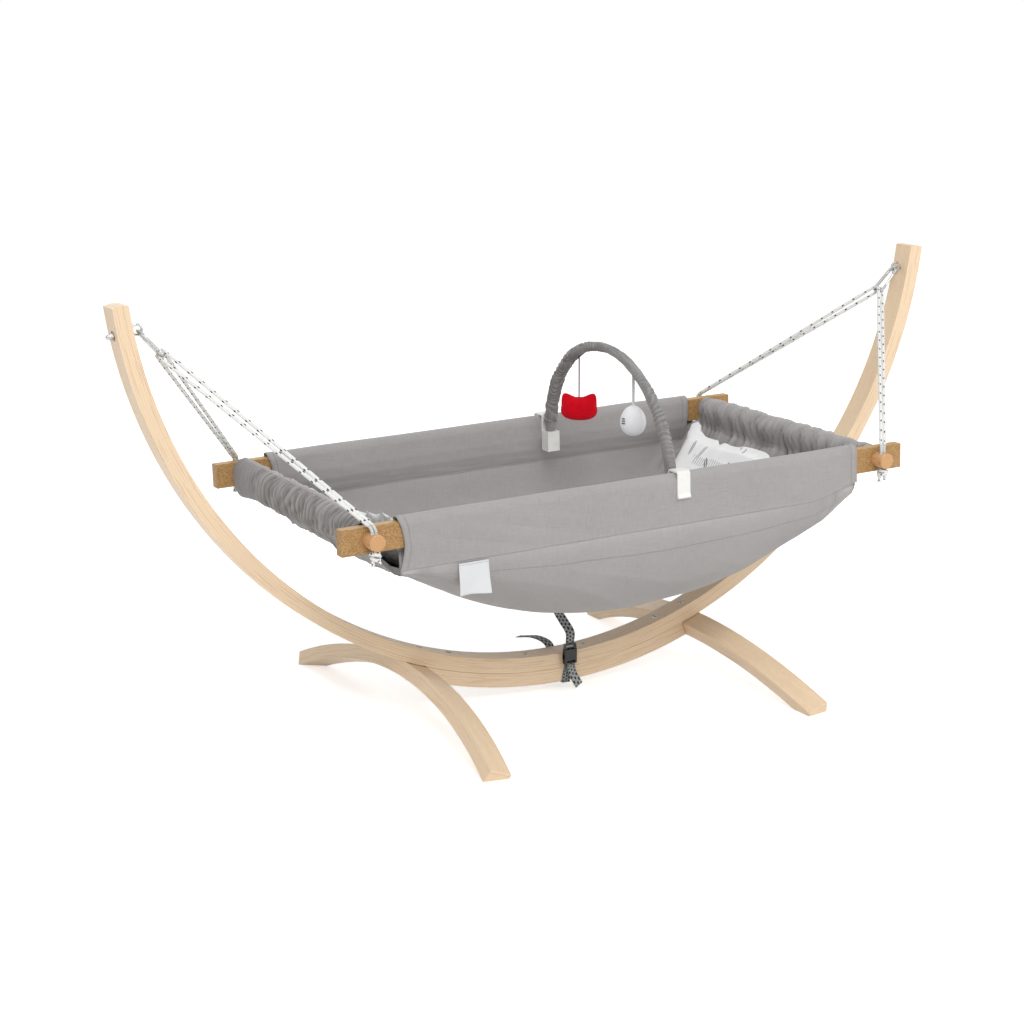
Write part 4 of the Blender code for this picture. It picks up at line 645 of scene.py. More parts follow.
def studio_floor():
    """Seamless paper sweep: it shows white to the camera and keeps the cradle's soft shadow."""
    made, add, _ = start_material("paper floor", colour("floor"), 0.9)
    nodes = made.node_tree.nodes
    shader = nodes["Principled BSDF"]
    rays = add("LightPath").node
    seen = add("Math.MAXIMUM", [rays.outputs["Is Camera Ray"], rays.outputs["Is Glossy Ray"]])
    seen = add("Math.MAXIMUM", [seen, rays.outputs["Is Transmission Ray"]])
    glow = add("Emission", {"Color": (1, 1, 1, 1), "Strength": add("Math.MULTIPLY", [seen, 0.55])})
    both = add("AddShader", {0: shader.outputs[0], 1: glow})
    join(both, nodes["Material Output"].inputs["Surface"])
    return made


# Shapes


def finish_piece(name, form, material, body, replaced=(), angle=40):
    """Makes the object from a bmesh, in its place, with its material, ties it to its body and hides the
    solids it replaces.
    """
    data = bpy.data.meshes.new(name)
    form.to_mesh(data)
    form.free()
    data.shade_smooth()
    data.set_sharp_from_angle(angle=math.radians(angle))
    data.materials.append(material)
    made = bpy.data.objects.new(name, data)
    bpy.context.scene.collection.objects.link(made)
    if body:
        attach(made, body)
    if replaced:
        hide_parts(*replaced)
    return made


def wrap_cloth(form, columns, rows, place, size, closed=False, flip=False):
    """Adds a grid whose points are put in place by place(u, v), with cloth coordinates of size in metres."""
    layer = form.loops.layers.uv.get("cloth") or form.loops.layers.uv.new("cloth")
    made = bmesh.ops.create_grid(form, x_segments=columns, y_segments=rows, size=0.5)
    verts = made["verts"]
    faces = {face for vert in verts for face in vert.link_faces}
    for face in faces:
        for loop in face.loops:
            loop[layer].uv = ((loop.vert.co.x + 0.5) * size[0], (loop.vert.co.y + 0.5) * size[1])
    for vert in verts:
        vert.co = place(vert.co.x + 0.5, vert.co.y + 0.5)
    if flip:
        bmesh.ops.reverse_faces(form, faces=list(faces))
    if closed:
        bmesh.ops.remove_doubles(form, verts=verts, dist=1e-6)
    return verts


def smooth_path(points, steps):
    """More points on a smooth curve through these."""
    padded = [points[0] * 2 - points[1]] + list(points) + [points[-1] * 2 - points[-2]]
    made = []
    for a, b, c, d in zip(padded, padded[1:], padded[2:], padded[3:]):
        for index in range(steps):
            t = index / steps
            spot = b * 2 + (c - a) * t + (
                a * 2 - b * 5 + c * 4 - d
            ) * t * t + (b * 3 - a - c * 3 + d) * t**3
            made.append(spot / 2)
    return made + [points[-1]]


def path_frames(path, start):
    """(ahead, side, up) at each point, without twist."""
    frames = []
    side = start
    for index in range(len(path)):
        ahead = (path[min(index + 1, len(path) - 1)] - path[max(index - 1, 0)]).normalized()
        side = (side - ahead * side.dot(ahead)).normalized()
        frames.append((ahead, side, ahead.cross(side)))
    return frames


def path_length(path):
    return sum((b - a).length for a, b in zip(path, path[1:]))


def add_tube(form, path, radius_at, sides, start=Vector((0, 1, 0))):
    """A closed round cord or tube along the path; radius_at(metres along, turn) gives its radius."""
    frames = path_frames(path, start)
    runs = [0.0]
    for a, b in zip(path, path[1:]):
        runs.append(runs[-1] + (b - a).length)
    last = len(path) - 1

    def place(u, v):
        index = round(u * last)
        _, side, up = frames[index]
        turn = math.tau * v
        radius = radius_at(runs[index], turn)
        return path[index] + (side * math.cos(turn) + up * math.sin(turn)) * radius

    size = (runs[-1], math.tau * radius_at(runs[-1] / 2, 0.0))
    verts = wrap_cloth(form, last, sides, place, size, closed=True)
    edges = {edge for vert in form.verts for edge in vert.link_edges if edge.is_boundary}
    bmesh.ops.holes_fill(form, edges=list(edges), sides=0)
    return verts


def spline_noise(x, y, z):
    return noise.noise(Vector((x, y, z)))


def gather(y, level, seed):
    """Folds across an end: rounded crests with sharp valleys, broad ones and narrow ones between them."""
    spacing = sizes().gather_spacing
    drift = spline_noise(y * 7, level * 0.5, seed) * 1.1
    broad = abs(math.sin(math.pi * (y / (1.5 * spacing) + drift + 0.12 * level))) ** 0.8
    shift = spline_noise(y * 16, level * 0.6, seed + 5) * 1.3
    narrow = abs(math.sin(math.pi * (y / (0.5 * spacing) + shift + 0.25 * level))) ** 0.7
    tight = min(max(0.5 + 1.1 * spline_noise(y * 14, level * 0.7, seed + 9), 0.1), 1)
    thin = abs(math.sin(math.pi * (y / (0.3 * spacing) + shift * 0.8 - 0.3 * level))) ** 0.8
    return 0.6 * (broad - 0.6) + tight * (narrow - 0.55) + 0.35 * (1.1 - tight) * (thin - 0.6)


END_SEEDS = {-1: 3.1, 1: 8.4}
END_RADIUS = 0.0185


def end_height(side, y, rising):
    """How far the loose sleeve of a cross bar stands above or hangs below the bar's axis."""
    if rising:
        return 0.0255 if side < 0 else 0.0195
    if side > 0:
        return 0.025
    return 0.0225 + 0.0085 * min(max((y + 0.15) / 0.19, 0), 1) + 0.009 * max(0, (y - 0.14) / 0.10) ** 1.5


def flat_end(side, y):
    """The left end lies flat by the rear rail and is drawn up from there on."""
    if side > 0:
        return 1.0
    share = min(max((y - 0.145) / 0.05, 0), 1)
    return 1 - 0.9 * share * share * (3 - 2 * share)


def end_wrap(side, y, turn, grow=0.0):
    """A point of the gathered sleeve round a cross bar; turn 0 faces away from the cradle's middle."""
    level = 1.6 * math.sin(turn)
    calm = min((0.2432 - abs(y)) / 0.014, 1) * flat_end(side, y)
    depth = sizes().gather_depth * calm
    fold = gather(y, level, END_SEEDS[side])
    puff = spline_noise(y * 9, level * 0.4, END_SEEDS[side] + 2) * 0.003 * calm
    across = max(END_RADIUS + fold * depth * 0.7 + grow, BAR_RADIUS + 0.0012)
    high = end_height(side, y, math.sin(turn) > 0) + fold * depth * 0.75 + puff + grow
    return Vector(
        (side * (BAR_PLACE + across * math.cos(turn)), y, max(high, BAR_RADIUS + 0.002) * math.sin(turn))
    )


def sling_place(x, v):
    """The sling's outer face in the cradle's frame: x along the rails, v from -1 at the front to 1."""
    share = abs(x) / 0.5023
    end = max(0, 1 - (SLING_HALF_LENGTH - abs(x)) / SLING_CORNER)
    seam_height = -(SLEEVE_SEAM + 0.0006 + 0.002 * share)
    edge_height = seam_height * (1 - end) - 0.027 * end
    depth = 0.2256 * (1 - share**2.06) * (1 + 0.147 * x / SLING_HALF_LENGTH)
    depth = depth * (1 - end) + 0.033 * end
    half_width = SLING_EDGE - (SLING_EDGE - SLING_END_EDGE) * end
    y = half_width * math.sin(v * math.pi / 2)
    fall = (1 - abs(math.sin(v * math.pi / 2)) ** 2.73) ** (1 / 2.73)
    return Vector((x, y, edge_height - (depth + edge_height) * fall))


def corner_lift(x):
    """How far the front right corner of the sling and of its sleeve is drawn up."""
    return 0.024 * min(max((x - 0.325) / 0.085, 0), 1) ** 1.2


CREASE_DEPTH = 5 * MM


def crease(x, y, z):
    """Soft creases of laid canvas: long ones along the rails and slanting ones that pull to the corners."""
    long = spline_noise(x * 5, y * 22, z * 22)
    short = spline_noise(x * 16 + 7, y * 30, z * 30)
    slant = x * 0.5 + z * 1.6 + y * 0.4
    pull = abs(spline_noise(slant * 15, (x - z) * 2.2, y * 3)) * 2 - 0.5
    return long * 0.5 + short * 0.25 + pull * 0.65


def mark_valleys(form, rounds, depth, sign=None):
    """Keeps on each point how deep it lies between folds: 0 on a crest, 1 in a valley; the canvas paints
    shade in the valleys and light on the crests by it.
    """
    layer = form.verts.layers.float.new("valley")
    form.normal_update()
    form.verts.index_update()
    soft = form.copy()
    for _ in range(rounds):
        bmesh.ops.smooth_vert(
            soft, verts=soft.verts, factor=0.5, use_axis_x=True, use_axis_y=True, use_axis_z=True
        )
    soft.verts.ensure_lookup_table()
    for vert in form.verts:
        sunk = (soft.verts[vert.index].co - vert.co).dot(vert.normal)
        if sign:
            sunk *= sign(vert.co)
        vert[layer] = min(max(0.5 + sunk / depth, 0), 1)
    soft.free()


def mark_folds(form, side):
    """Keeps the same for the gathered cloth of one end, straight from its folds."""
    layer = form.verts.layers.float.get("valley") or form.verts.layers.float.new("valley")
    back = CRADLE.inverted()
    for vert in form.verts:
        x, y, z = back @ vert.co
        share = min(max((side * x - 0.30) / 0.10, 0), 1)
        if share == 0:
            continue
        out = side * x - BAR_PLACE
        level = 1.6 * z / math.hypot(out, z) if z > -0.026 else -1.6 - (SLING_HALF_LENGTH - side * x) / 0.03
        sunk = 0.5 - 0.75 * gather(y, level, END_SEEDS[side]) * flat_end(side, y)
        vert[layer] = min(max(vert[layer] * (1 - share) + sunk * share, 0), 1)


def give_thickness(made, thickness, offset):
    wall = made.modifiers.new("cloth", "SOLIDIFY")
    wall.thickness = thickness
    wall.offset = offset
    return made


# Operators


class CRADLE_OT_stage(bpy.types.Operator):
    """White studio: floor, soft lamps and the camera"""

    bl_idname = "cradle.stage"
    bl_label = "Studio"

    def execute(self, context):
        scene = context.scene
        scene.view_settings.view_transform = "Standard"
        world = bpy.data.worlds.new("studio")
        scene.world = world
        world.use_nodes = True
        add = functools.partial(add_node, world.node_tree)
        background = world.node_tree.nodes["Background"]
        background.inputs["Color"].default_value = (1, 1, 1, 1)
        rays = add("LightPath").node
        seen = add("Math.MAXIMUM", [rays.outputs["Is Camera Ray"], rays.outputs["Is Glossy Ray"]])
        seen = add("Math.MAXIMUM", [seen, rays.outputs["Is Transmission Ray"]])
        join(add("MapRange", [seen, 0.0, 1.0, 0.51, 1.0]), background.inputs["Strength"])

        form = bmesh.new()
        bmesh.ops.create_grid(form, x_segments=1, y_segments=1, size=sizes().floor_size / 2)
        data = bpy.data.meshes.new("floor")
        form.to_mesh(data)
        form.free()
        data.materials.append(studio_floor())
        floor = bpy.data.objects.new("floor", data)
        scene.collection.objects.link(floor)

        self.lamp(scene, "key", (-1.8, -5.2, 5.2), 2.8, 238)
        self.lamp(scene, "fill", (2.6, -2.4, 1.6), 2.2, 20)
        self.lamp(scene, "rim", (0.4, 2.6, 2.9), 2.0, 26)
        self.camera(scene)
        return {"FINISHED"}

    def lamp(self, scene, name, place, size, power):
        light = bpy.data.lights.new(name, "AREA")
        light.size = size
        light.energy = power
        lamp = bpy.data.objects.new(name, light)
        lamp.location = place
        lamp.rotation_euler = (Vector((0, 0, 0.3)) - Vector(place)).to_track_quat("-Z", "Y").to_euler()
        scene.collection.objects.link(lamp)

    def camera(self, scene):
        turn, rise, roll = math.radians(-29.6323), math.radians(13.5993), math.radians(-0.2497)
        back = Vector((math.sin(turn) * math.cos(rise), -math.cos(turn) * math.cos(rise), math.sin(rise)))
        level = Vector((math.cos(turn), math.sin(turn), 0))
        upright = back.cross(level)
        right = level * math.cos(roll) + upright * math.sin(roll)
        lens = bpy.data.cameras.new("camera")
        lens.sensor_width = 36
        lens.lens = 36 * 2136.87 / 1024
        lens.clip_end = 200
        camera = bpy.data.objects.new("camera", lens)
        camera.matrix_world = Matrix.Translation((-1.7517, -2.9425, 1.1312)) @ Matrix(
            (right, back.cross(right), back)
        ).transposed().to_4x4()
        scene.collection.objects.link(camera)
        scene.camera = camera


def paint(material, *starts):
    """Gives the material to each fixed node whose name starts so."""
    for name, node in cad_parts.items():
        if name.startswith(starts):
            node.data.materials.clear()
            node.data.materials.append(material)


class CRADLE_OT_wood(bpy.types.Operator):
    """Birch plywood of the bow and feet, the speckled rails and the beech cross bars"""

    bl_idname = "cradle.wood"
    bl_label = "Woodwork"

    def execute(self, context):
        paint(birch_plywood("birch plywood, bow", BOW_CENTRE, (math.pi, 0, 0)), "arm_", "lower_strip")
        for side, name in ((-1, "foot_left"), (1, "foot_right")):
            angle = side * FOOT_ANGLE
            toward = Vector((-math.sin(angle), 0, math.cos(angle)))
            top = BOW_CENTRE - toward * (ARM_OUTER_RADIUS + SEAT_GAP)
            across = Vector((0, 1, 0))
            turn = Matrix((across, toward.cross(across), toward)).transposed().to_euler()
            paint(birch_plywood(f"birch plywood, {name}", top - toward * FOOT_RADIUS, tuple(turn)), name)
        paint(speckled_board(), "side_rail_")
        paint(turned_beech("turned beech, left", -1), "cross_bar_left")
        paint(turned_beech("turned beech, right", 1), "cross_bar_right")
        return {"FINISHED"}


class CRADLE_OT_hardware(bpy.types.Operator):
    """Zinc plate on the bolts, nuts, eyes and spring hooks"""

    bl_idname = "cradle.hardware"
    bl_label = "Metal fittings"

    def execute(self, context):
        paint(zinc_plated_steel(), "frame_bolt_", "frame_nut_", "eye_bolt_", "cap_nut_", "carabiner_")
        return {"FINISHED"}


def hook_frame(side):
    """The spring hook's frame: its origin at the eye's centre, z down the ropes, y to the rear."""
    angle, radius = side * EYE_PLACE[0], EYE_PLACE[1]
    eye = BOW_CENTRE + Vector((radius * math.sin(angle), 0, -radius * math.cos(angle)))
    front, rear = (
        CRADLE @ Vector((side * BAR_PLACE, way * ROPE_HOLE_PLACE, BAR_RADIUS)) for way in (-1, 1)
    )
    width = (rear - front).normalized()
    down = (front + rear) / 2 - eye
    down = (down - width * down.dot(width)).normalized()
    turn = Matrix((width.cross(down), width, down)).transposed().to_4x4()
    return Matrix.Translation(eye) @ turn


HOOK_WIRE = 0.003
HOOK_BOTTOM_RADIUS = 0.011
HOOK_TOP = 0.008 - 0.002 - HOOK_WIRE - SEAT_GAP
HOOK_BOTTOM_PLACE = HOOK_TOP + 0.054 - HOOK_BOTTOM_RADIUS


def rope_path(side, way):
    """One doubled rope: up through the bar's hole, over the hook's wire and back down beside itself."""
    hook = hook_frame(side)
    centre = hook @ Vector((0, 0, HOOK_BOTTOM_PLACE))
    normal = hook.to_3x3() @ Vector((1, 0, 0))
    down = (CRADLE.to_3x3() @ Vector((0, 0, 1))) * -1
    along = CRADLE.to_3x3() @ Vector((1, 0, 0))
    if along.dot(normal) < 0:
        along = -along
    mouth = CRADLE @ Vector((side * BAR_PLACE, way * ROPE_HOLE_PLACE, BAR_RADIUS))
    knee = mouth - down * 0.008
    heading = (knee - centre).normalized()
    wrap = centre + heading * HOOK_BOTTOM_RADIUS
    bend = HOOK_WIRE + ROPE_RADIUS + SEAT_GAP
    run = (knee - wrap).length

    def strand(hand):
        points = []
        for index in range(10):
            travel = (run - 0.009) * index / 9
            share = min(max((travel - 0.012) / (run - 0.05), 0), 1)
            spread = normal * bend * (1 - share) + along * ROPE_SPAN_HALF * share
            points.append(wrap + heading * travel + spread * hand)
        for index in range(1, 4):
            share = index / 4
            before = knee - heading * 0.009 * (1 - share)
            after = knee + down * 0.008 * share
            points.append(before.lerp(after, share) + along * ROPE_PAIR_HALF * hand)
        points.append(mouth + along * ROPE_PAIR_HALF * hand)
        points.append(mouth + down * 2 * BAR_RADIUS + along * ROPE_PAIR_HALF * hand)
        return points

    over = []
    for index in range(1, 6):
        angle = math.pi * index / 6
        over.append(wrap + normal * bend * math.cos(angle) - heading * bend * math.sin(angle))
    return smooth_path(list(reversed(strand(1))) + over + strand(-1), 5)


class CRADLE_OT_ropes(bpy.types.Operator):
    """Doubled ropes from the spring hooks to the cross bars, and the knots under the bars"""

    bl_idname = "cradle.ropes"
    bl_label = "Ropes and knots"

    length = 1.0

    def execute(self, context):
        material = flecked_rope()
        for side, hand in ((-1, "left"), (1, "right")):
            for way, end in ((-1, "front"), (1, "rear")):
                form = bmesh.new()
                path = rope_path(side, way)
                self.length = path_length(path)
                add_tube(form, path, self.free_radius, 12)
                name = f"braided_rope_{end}_{hand}"
                finish_piece(name, form, material, "cradle", [f"rope_{end}_{hand}"], 60)
                self.knot(side, way, f"{end}_{hand}", material)
        return {"FINISHED"}

    def rope_radius(self, run, turn):
        return ROPE_RADIUS

    def free_radius(self, run, turn):
        """The rope swells where neither the bar's hole nor the hook squeezes it."""
        middle = self.length / 2
        from_hole = min(run, self.length - run) - 0.036
        from_hook = abs(run - middle) - 0.018
        return ROPE_RADIUS + 0.0006 * min(max(min(from_hole, from_hook) / 0.02, 0), 1)

    def knot(self, side, way, tag, material):
        """Both strands wound into one stopper knot, with two short tails."""
        form = bmesh.new()
        origin = CRADLE @ Matrix.Translation(
            (side * BAR_PLACE, way * ROPE_HOLE_PLACE, -BAR_RADIUS - 0.0008)
        )
        seed = 2 * side + way
        rounds = ((0.0056, -0.0034, 12, 0), (0.0070, -0.0072, -21, 70), (0.0060, -0.0112, 24, 150))
        for radius, height, lean, face in rounds:
            tilt = Matrix.Rotation(
                math.radians(face + 40 * seed), 4, "Z"
            ) @ Matrix.Rotation(math.radians(lean), 4, "X")
            ring = []
            for step in range(29):
                angle = math.tau * step / 26
                rise = 0.0016 * (step / 28 - 0.5)
                spot = Vector((radius * math.cos(angle), radius * math.sin(angle), rise))
                ring.append(origin @ Matrix.Translation((0, 0, height)) @ tilt @ spot)
            add_tube(form, ring, self.rope_radius, 12)
        for hand in (-1, 1):
            lean = Vector((hand * 0.0035, 0.0012 * seed, 0))
            points = [
                origin @ Vector((hand * 0.002, 0, -0.004)),
                origin @ (Vector((hand * 0.0028, 0, -0.011)) + lean * 0.2),
                origin @ (Vector((hand * 0.0026, 0, -0.0165)) + lean * 0.7),
                origin @ (Vector((hand * 0.0022, 0, -0.0215 + hand * 0.0012)) + lean)
            ]
            add_tube(form, smooth_path(points, 5), self.tail_radius, 12)
        finish_piece(f"rope_knot_{tag}", form, material, "cradle", [f"knot_{tag}"], 60)

    def tail_radius(self, run, turn):
        """A cut end opens out a little."""
        return ROPE_RADIUS * (1 + 0.18 * max(0, run - 0.014) / 0.004)


class CRADLE_OT_canvas(bpy.types.Operator):
    """Canvas sling, sleeves on rails and bars, and the blank label"""

    bl_idname = "cradle.canvas"
    bl_label = "Canvas"

    def execute(self, context):
        self.sling()
        for way, end in ((-1, "front"), (1, "rear")):
            self.rail_sleeve(way, end)
        for side, hand in ((-1, "left"), (1, "right")):
            self.end_sleeve(side, hand)
        self.label()
        return {"FINISHED"}

    def sling(self):
        """One cloth from seam to seam, gathered at both ends and carried up round the cross bars."""
        rim = 0.925
        tuck = 0.975
        width = 0.86

        def place(u, v):
            across = v * 2 - 1
            reach = abs(u * 2 - 1)
            way = -1 if u < 0.5 else 1
            inner = min(reach / rim, 1)
            x = (SLING_HALF_LENGTH - 0.0015) * (inner * 0.55 + 0.45 * math.sin(inner * math.pi / 2))
            spot = sling_place(way * x, min(max(across / tuck, -1), 1))
            away = max(0, SLING_HALF_LENGTH - x)
            fold = gather(spot.y, -1.6 - away / 0.03, END_SEEDS[way])
            near_end = max(0, (x - 0.29) / 0.15)
            middle = (1 - abs(across) ** 6) * flat_end(way, spot.y)
            spot.z += fold * sizes().gather_depth * near_end**1.5 * middle
            spot.x -= way * fold * sizes().gather_depth * 0.9 * near_end**2 * middle
            free = 1 - abs(across) ** 8
            spot.z += crease(x * way, spot.y, spot.z) * CREASE_DEPTH * free
            if way > 0 and across < 0:
                spot.z += corner_lift(x) * abs(across) ** 1.5
                spot.y += 0.014 * max(0, 1 - away / 0.05) * abs(across) ** 4
            if reach > rim:
                climb = (reach - rim) / (1 - rim)
                turn = math.radians(250 - 165 * climb)
                grow = 0.0016 - 0.0034 * max(0, climb - 0.85) / 0.15
                held = end_wrap(way, spot.y, turn, grow)
                share = min(climb / 0.3, 1)
                spot = spot.lerp(held, share * share * (3 - 2 * share))
            elif abs(across) > tuck:
                hidden = (abs(across) - tuck) / (1 - tuck)
                corner = max(0, 1 - away / SLING_CORNER)
                rise = 0.010 + 0.022 * corner
                if way > 0 and across > 0:
                    close = min(max((x - 0.398) / 0.014, 0), 1)
                    rise = 0.010 + (-0.0315 - spot.z) * close + 0.0265 * corner**4
                elif way < 0 and across < 0:
                    rise = 0.010 - 0.022 * corner
                spot.z += rise * hidden
                spot.y -= math.copysign(0.0022, across) * hidden * (1 - corner)
            return CRADLE @ spot

        form = bmesh.new()
        wrap_cloth(form, 232, 180, place, (SLING_CLOTH_LENGTH, width))
        mark_valleys(form, 14, 3.2 * MM, self.inner_face)
        mark_folds(form, -1)
        mark_folds(form, 1)
        self.shade_corners(form)
        material = grey_canvas("grey cotton canvas, sling", lines=(0.036,))
        made = finish_piece("canvas_sling", form, material, "cradle", ["sling"], 60)
        give_thickness(made, sizes().cloth_thickness, 1)

    def inner_face(self, spot):
        """The ends of the sling are seen from inside, its middle from outside."""
        return 2 * min(max((abs((CRADLE.inverted() @ spot).x) - 0.22) / 0.2, 0), 1) - 1

    def shade_corners(self, form):
        """The cloth doubles up under the rails at both front corners; the pocket there is marked as a full
        valley, so it gets painted shade.
        """
        layer = form.verts.layers.float["valley"]
        back = CRADLE.inverted()
        for vert in form.verts:
            x, y, z = back @ vert.co
            pocket = min(max((abs(x) - 0.404) / 0.006, 0), 1) * min(max((-0.208 - y) / 0.01, 0), 1)
            if z < -0.015:
                vert[layer] = max(vert[layer], pocket)

    def rail_sleeve(self, way, end):
        """A flat tunnel round the rail, open at both ends, its seam along the bottom."""
        half_width, top = SLEEVE_HALF_WIDTH, SLEEVE_TOP
        steps = [math.pi * index / 10 for index in range(11)]
        outline = [Vector((half_width - 0.0038, -SLEEVE_SEAM)), Vector((half_width, -SLEEVE_SEAM + 0.004))]
        outline += [Vector((half_width, z)) for z in (-0.035, -0.015, 0.004)]
        outline += [Vector((half_width * math.cos(a), 0.014 + (top - 0.014) * math.sin(a))) for a in steps]
        outline += [Vector((-half_width, z)) for z in (0.004, -0.012)]
        outline += [
            Vector((-half_width + 0.004, -0.030)), Vector((half_width - 0.0062, -SLEEVE_SEAM + 0.004))
        ]
        outline.append(outline[0])
        runs = [0.0]
        for a, b in zip(outline, outline[1:]):
            runs.append(runs[-1] + (b - a).length)
        round_it = runs[-1]

        def section(run):
            for index, (a, b) in enumerate(zip(outline, outline[1:])):
                if run <= runs[index + 1] + 1e-9:
                    return a.lerp(b, (run - runs[index]) / (runs[index + 1] - runs[index]))
            return outline[-1]

        def place(u, v):
            x = (u * 2 - 1) * SLEEVE_HALF_LENGTH
            flat = section(v * round_it)
            side = 1 if flat.x > 0 else -1
            hang = min(max((0.016 - flat.y) / 0.04, 0), 1) * min(max((SLEEVE_SEAM + flat.y) / 0.02, 0), 1)
            soft = crease(x, way * 0.3, flat.y * 1.4 + side * 0.7) * 2.4 * MM * (0.35 + 0.65 * hang)
            mouth = max(0, abs(x) - 0.398) / 0.012
            out = max(soft, -0.0006) + 0.0008 * mouth
            drawn_in = math.sin(math.pi * min(max((0.024 - flat.y) / 0.078, 0), 1))
            x -= math.copysign(0.008 if x < 0 else 0.001, x) * drawn_in * max(0, abs(x) - 0.33) / 0.08
            y = flat.x + side * out
            z = flat.y + 0.9 * MM * spline_noise(x * 9, 2.3 * way, 5.0) * (1 if flat.y > 0.02 else 0)
            if way < 0 and z < -0.02:
                z += corner_lift(x) * (-0.02 - z) / (SLEEVE_SEAM - 0.02)
            return CRADLE @ Vector((x, way * (RAIL_SPREAD + y), z))

        form = bmesh.new()
        wrap_cloth(form, 150, 64, place, (2 * SLEEVE_HALF_LENGTH, round_it), closed=True, flip=way > 0)
        mark_valleys(form, 10, 6 * MM)
        hems = (0.011, 2 * SLEEVE_HALF_LENGTH - 0.011)
        material = grey_canvas(
            f"grey cotton canvas, {end} sleeve", lines=(0.0035, round_it - 0.0035), hems=hems
        )
        made = finish_piece(
            f"canvas_sleeve_{end}", form, material, "cradle", [f"rail_sleeve_{end}"], 60
        )
        give_thickness(made, sizes().cloth_thickness, -1)

    def end_sleeve(self, side, hand):
        """The tunnel on a cross bar, drawn up into uneven folds."""
        half = 0.2428

        def place(u, v):
            return CRADLE @ end_wrap(side, (u * 2 - 1) * half, math.tau * v)

        form = bmesh.new()
        wrap_cloth(form, 380, 44, place, GATHER_CLOTH, closed=True)
        bmesh.ops.recalc_face_normals(form, faces=form.faces)
        mark_folds(form, side)
        # The left end's sleeve is drawn with the canvas darkened as painted shade; the right end keeps the
        # plain canvas.
        material = grey_canvas(
            f"grey cotton canvas, {hand} end", base="canvas_painted_shade" if side < 0 else "canvas"
        )
        made = finish_piece(
            f"canvas_gather_{hand}", form, material, "cradle", [f"end_sleeve_{hand}"], 60
        )
        give_thickness(made, sizes().cloth_thickness, -1)

    def label(self):
        """A square of satin hanging from the front seam, its lower corner lifting."""
        edge = 0.050
        top = Vector((-0.291, -(SLING_EDGE + 0.0018), -SLEEVE_SEAM + 0.0002))

        def place(u, v):
            x = (u - 0.5) * edge
            drop = v * edge
            lift = 0.0045 * v**2 * (0.2 + u) + 0.0022 * math.sin(u * 5.5 + v * 3) * v
            return CRADLE @ (top + Vector((x, -0.0004 - lift, -drop + 0.001 * v * math.sin(u * 4))))

        form = bmesh.new()
        wrap_cloth(form, 24, 24, place, (edge, edge), flip=True)
        made = finish_piece("satin_label", form, woven_label(), "cradle", ["label"], 60)
        give_thickness(made, 0.5 * MM, 0)


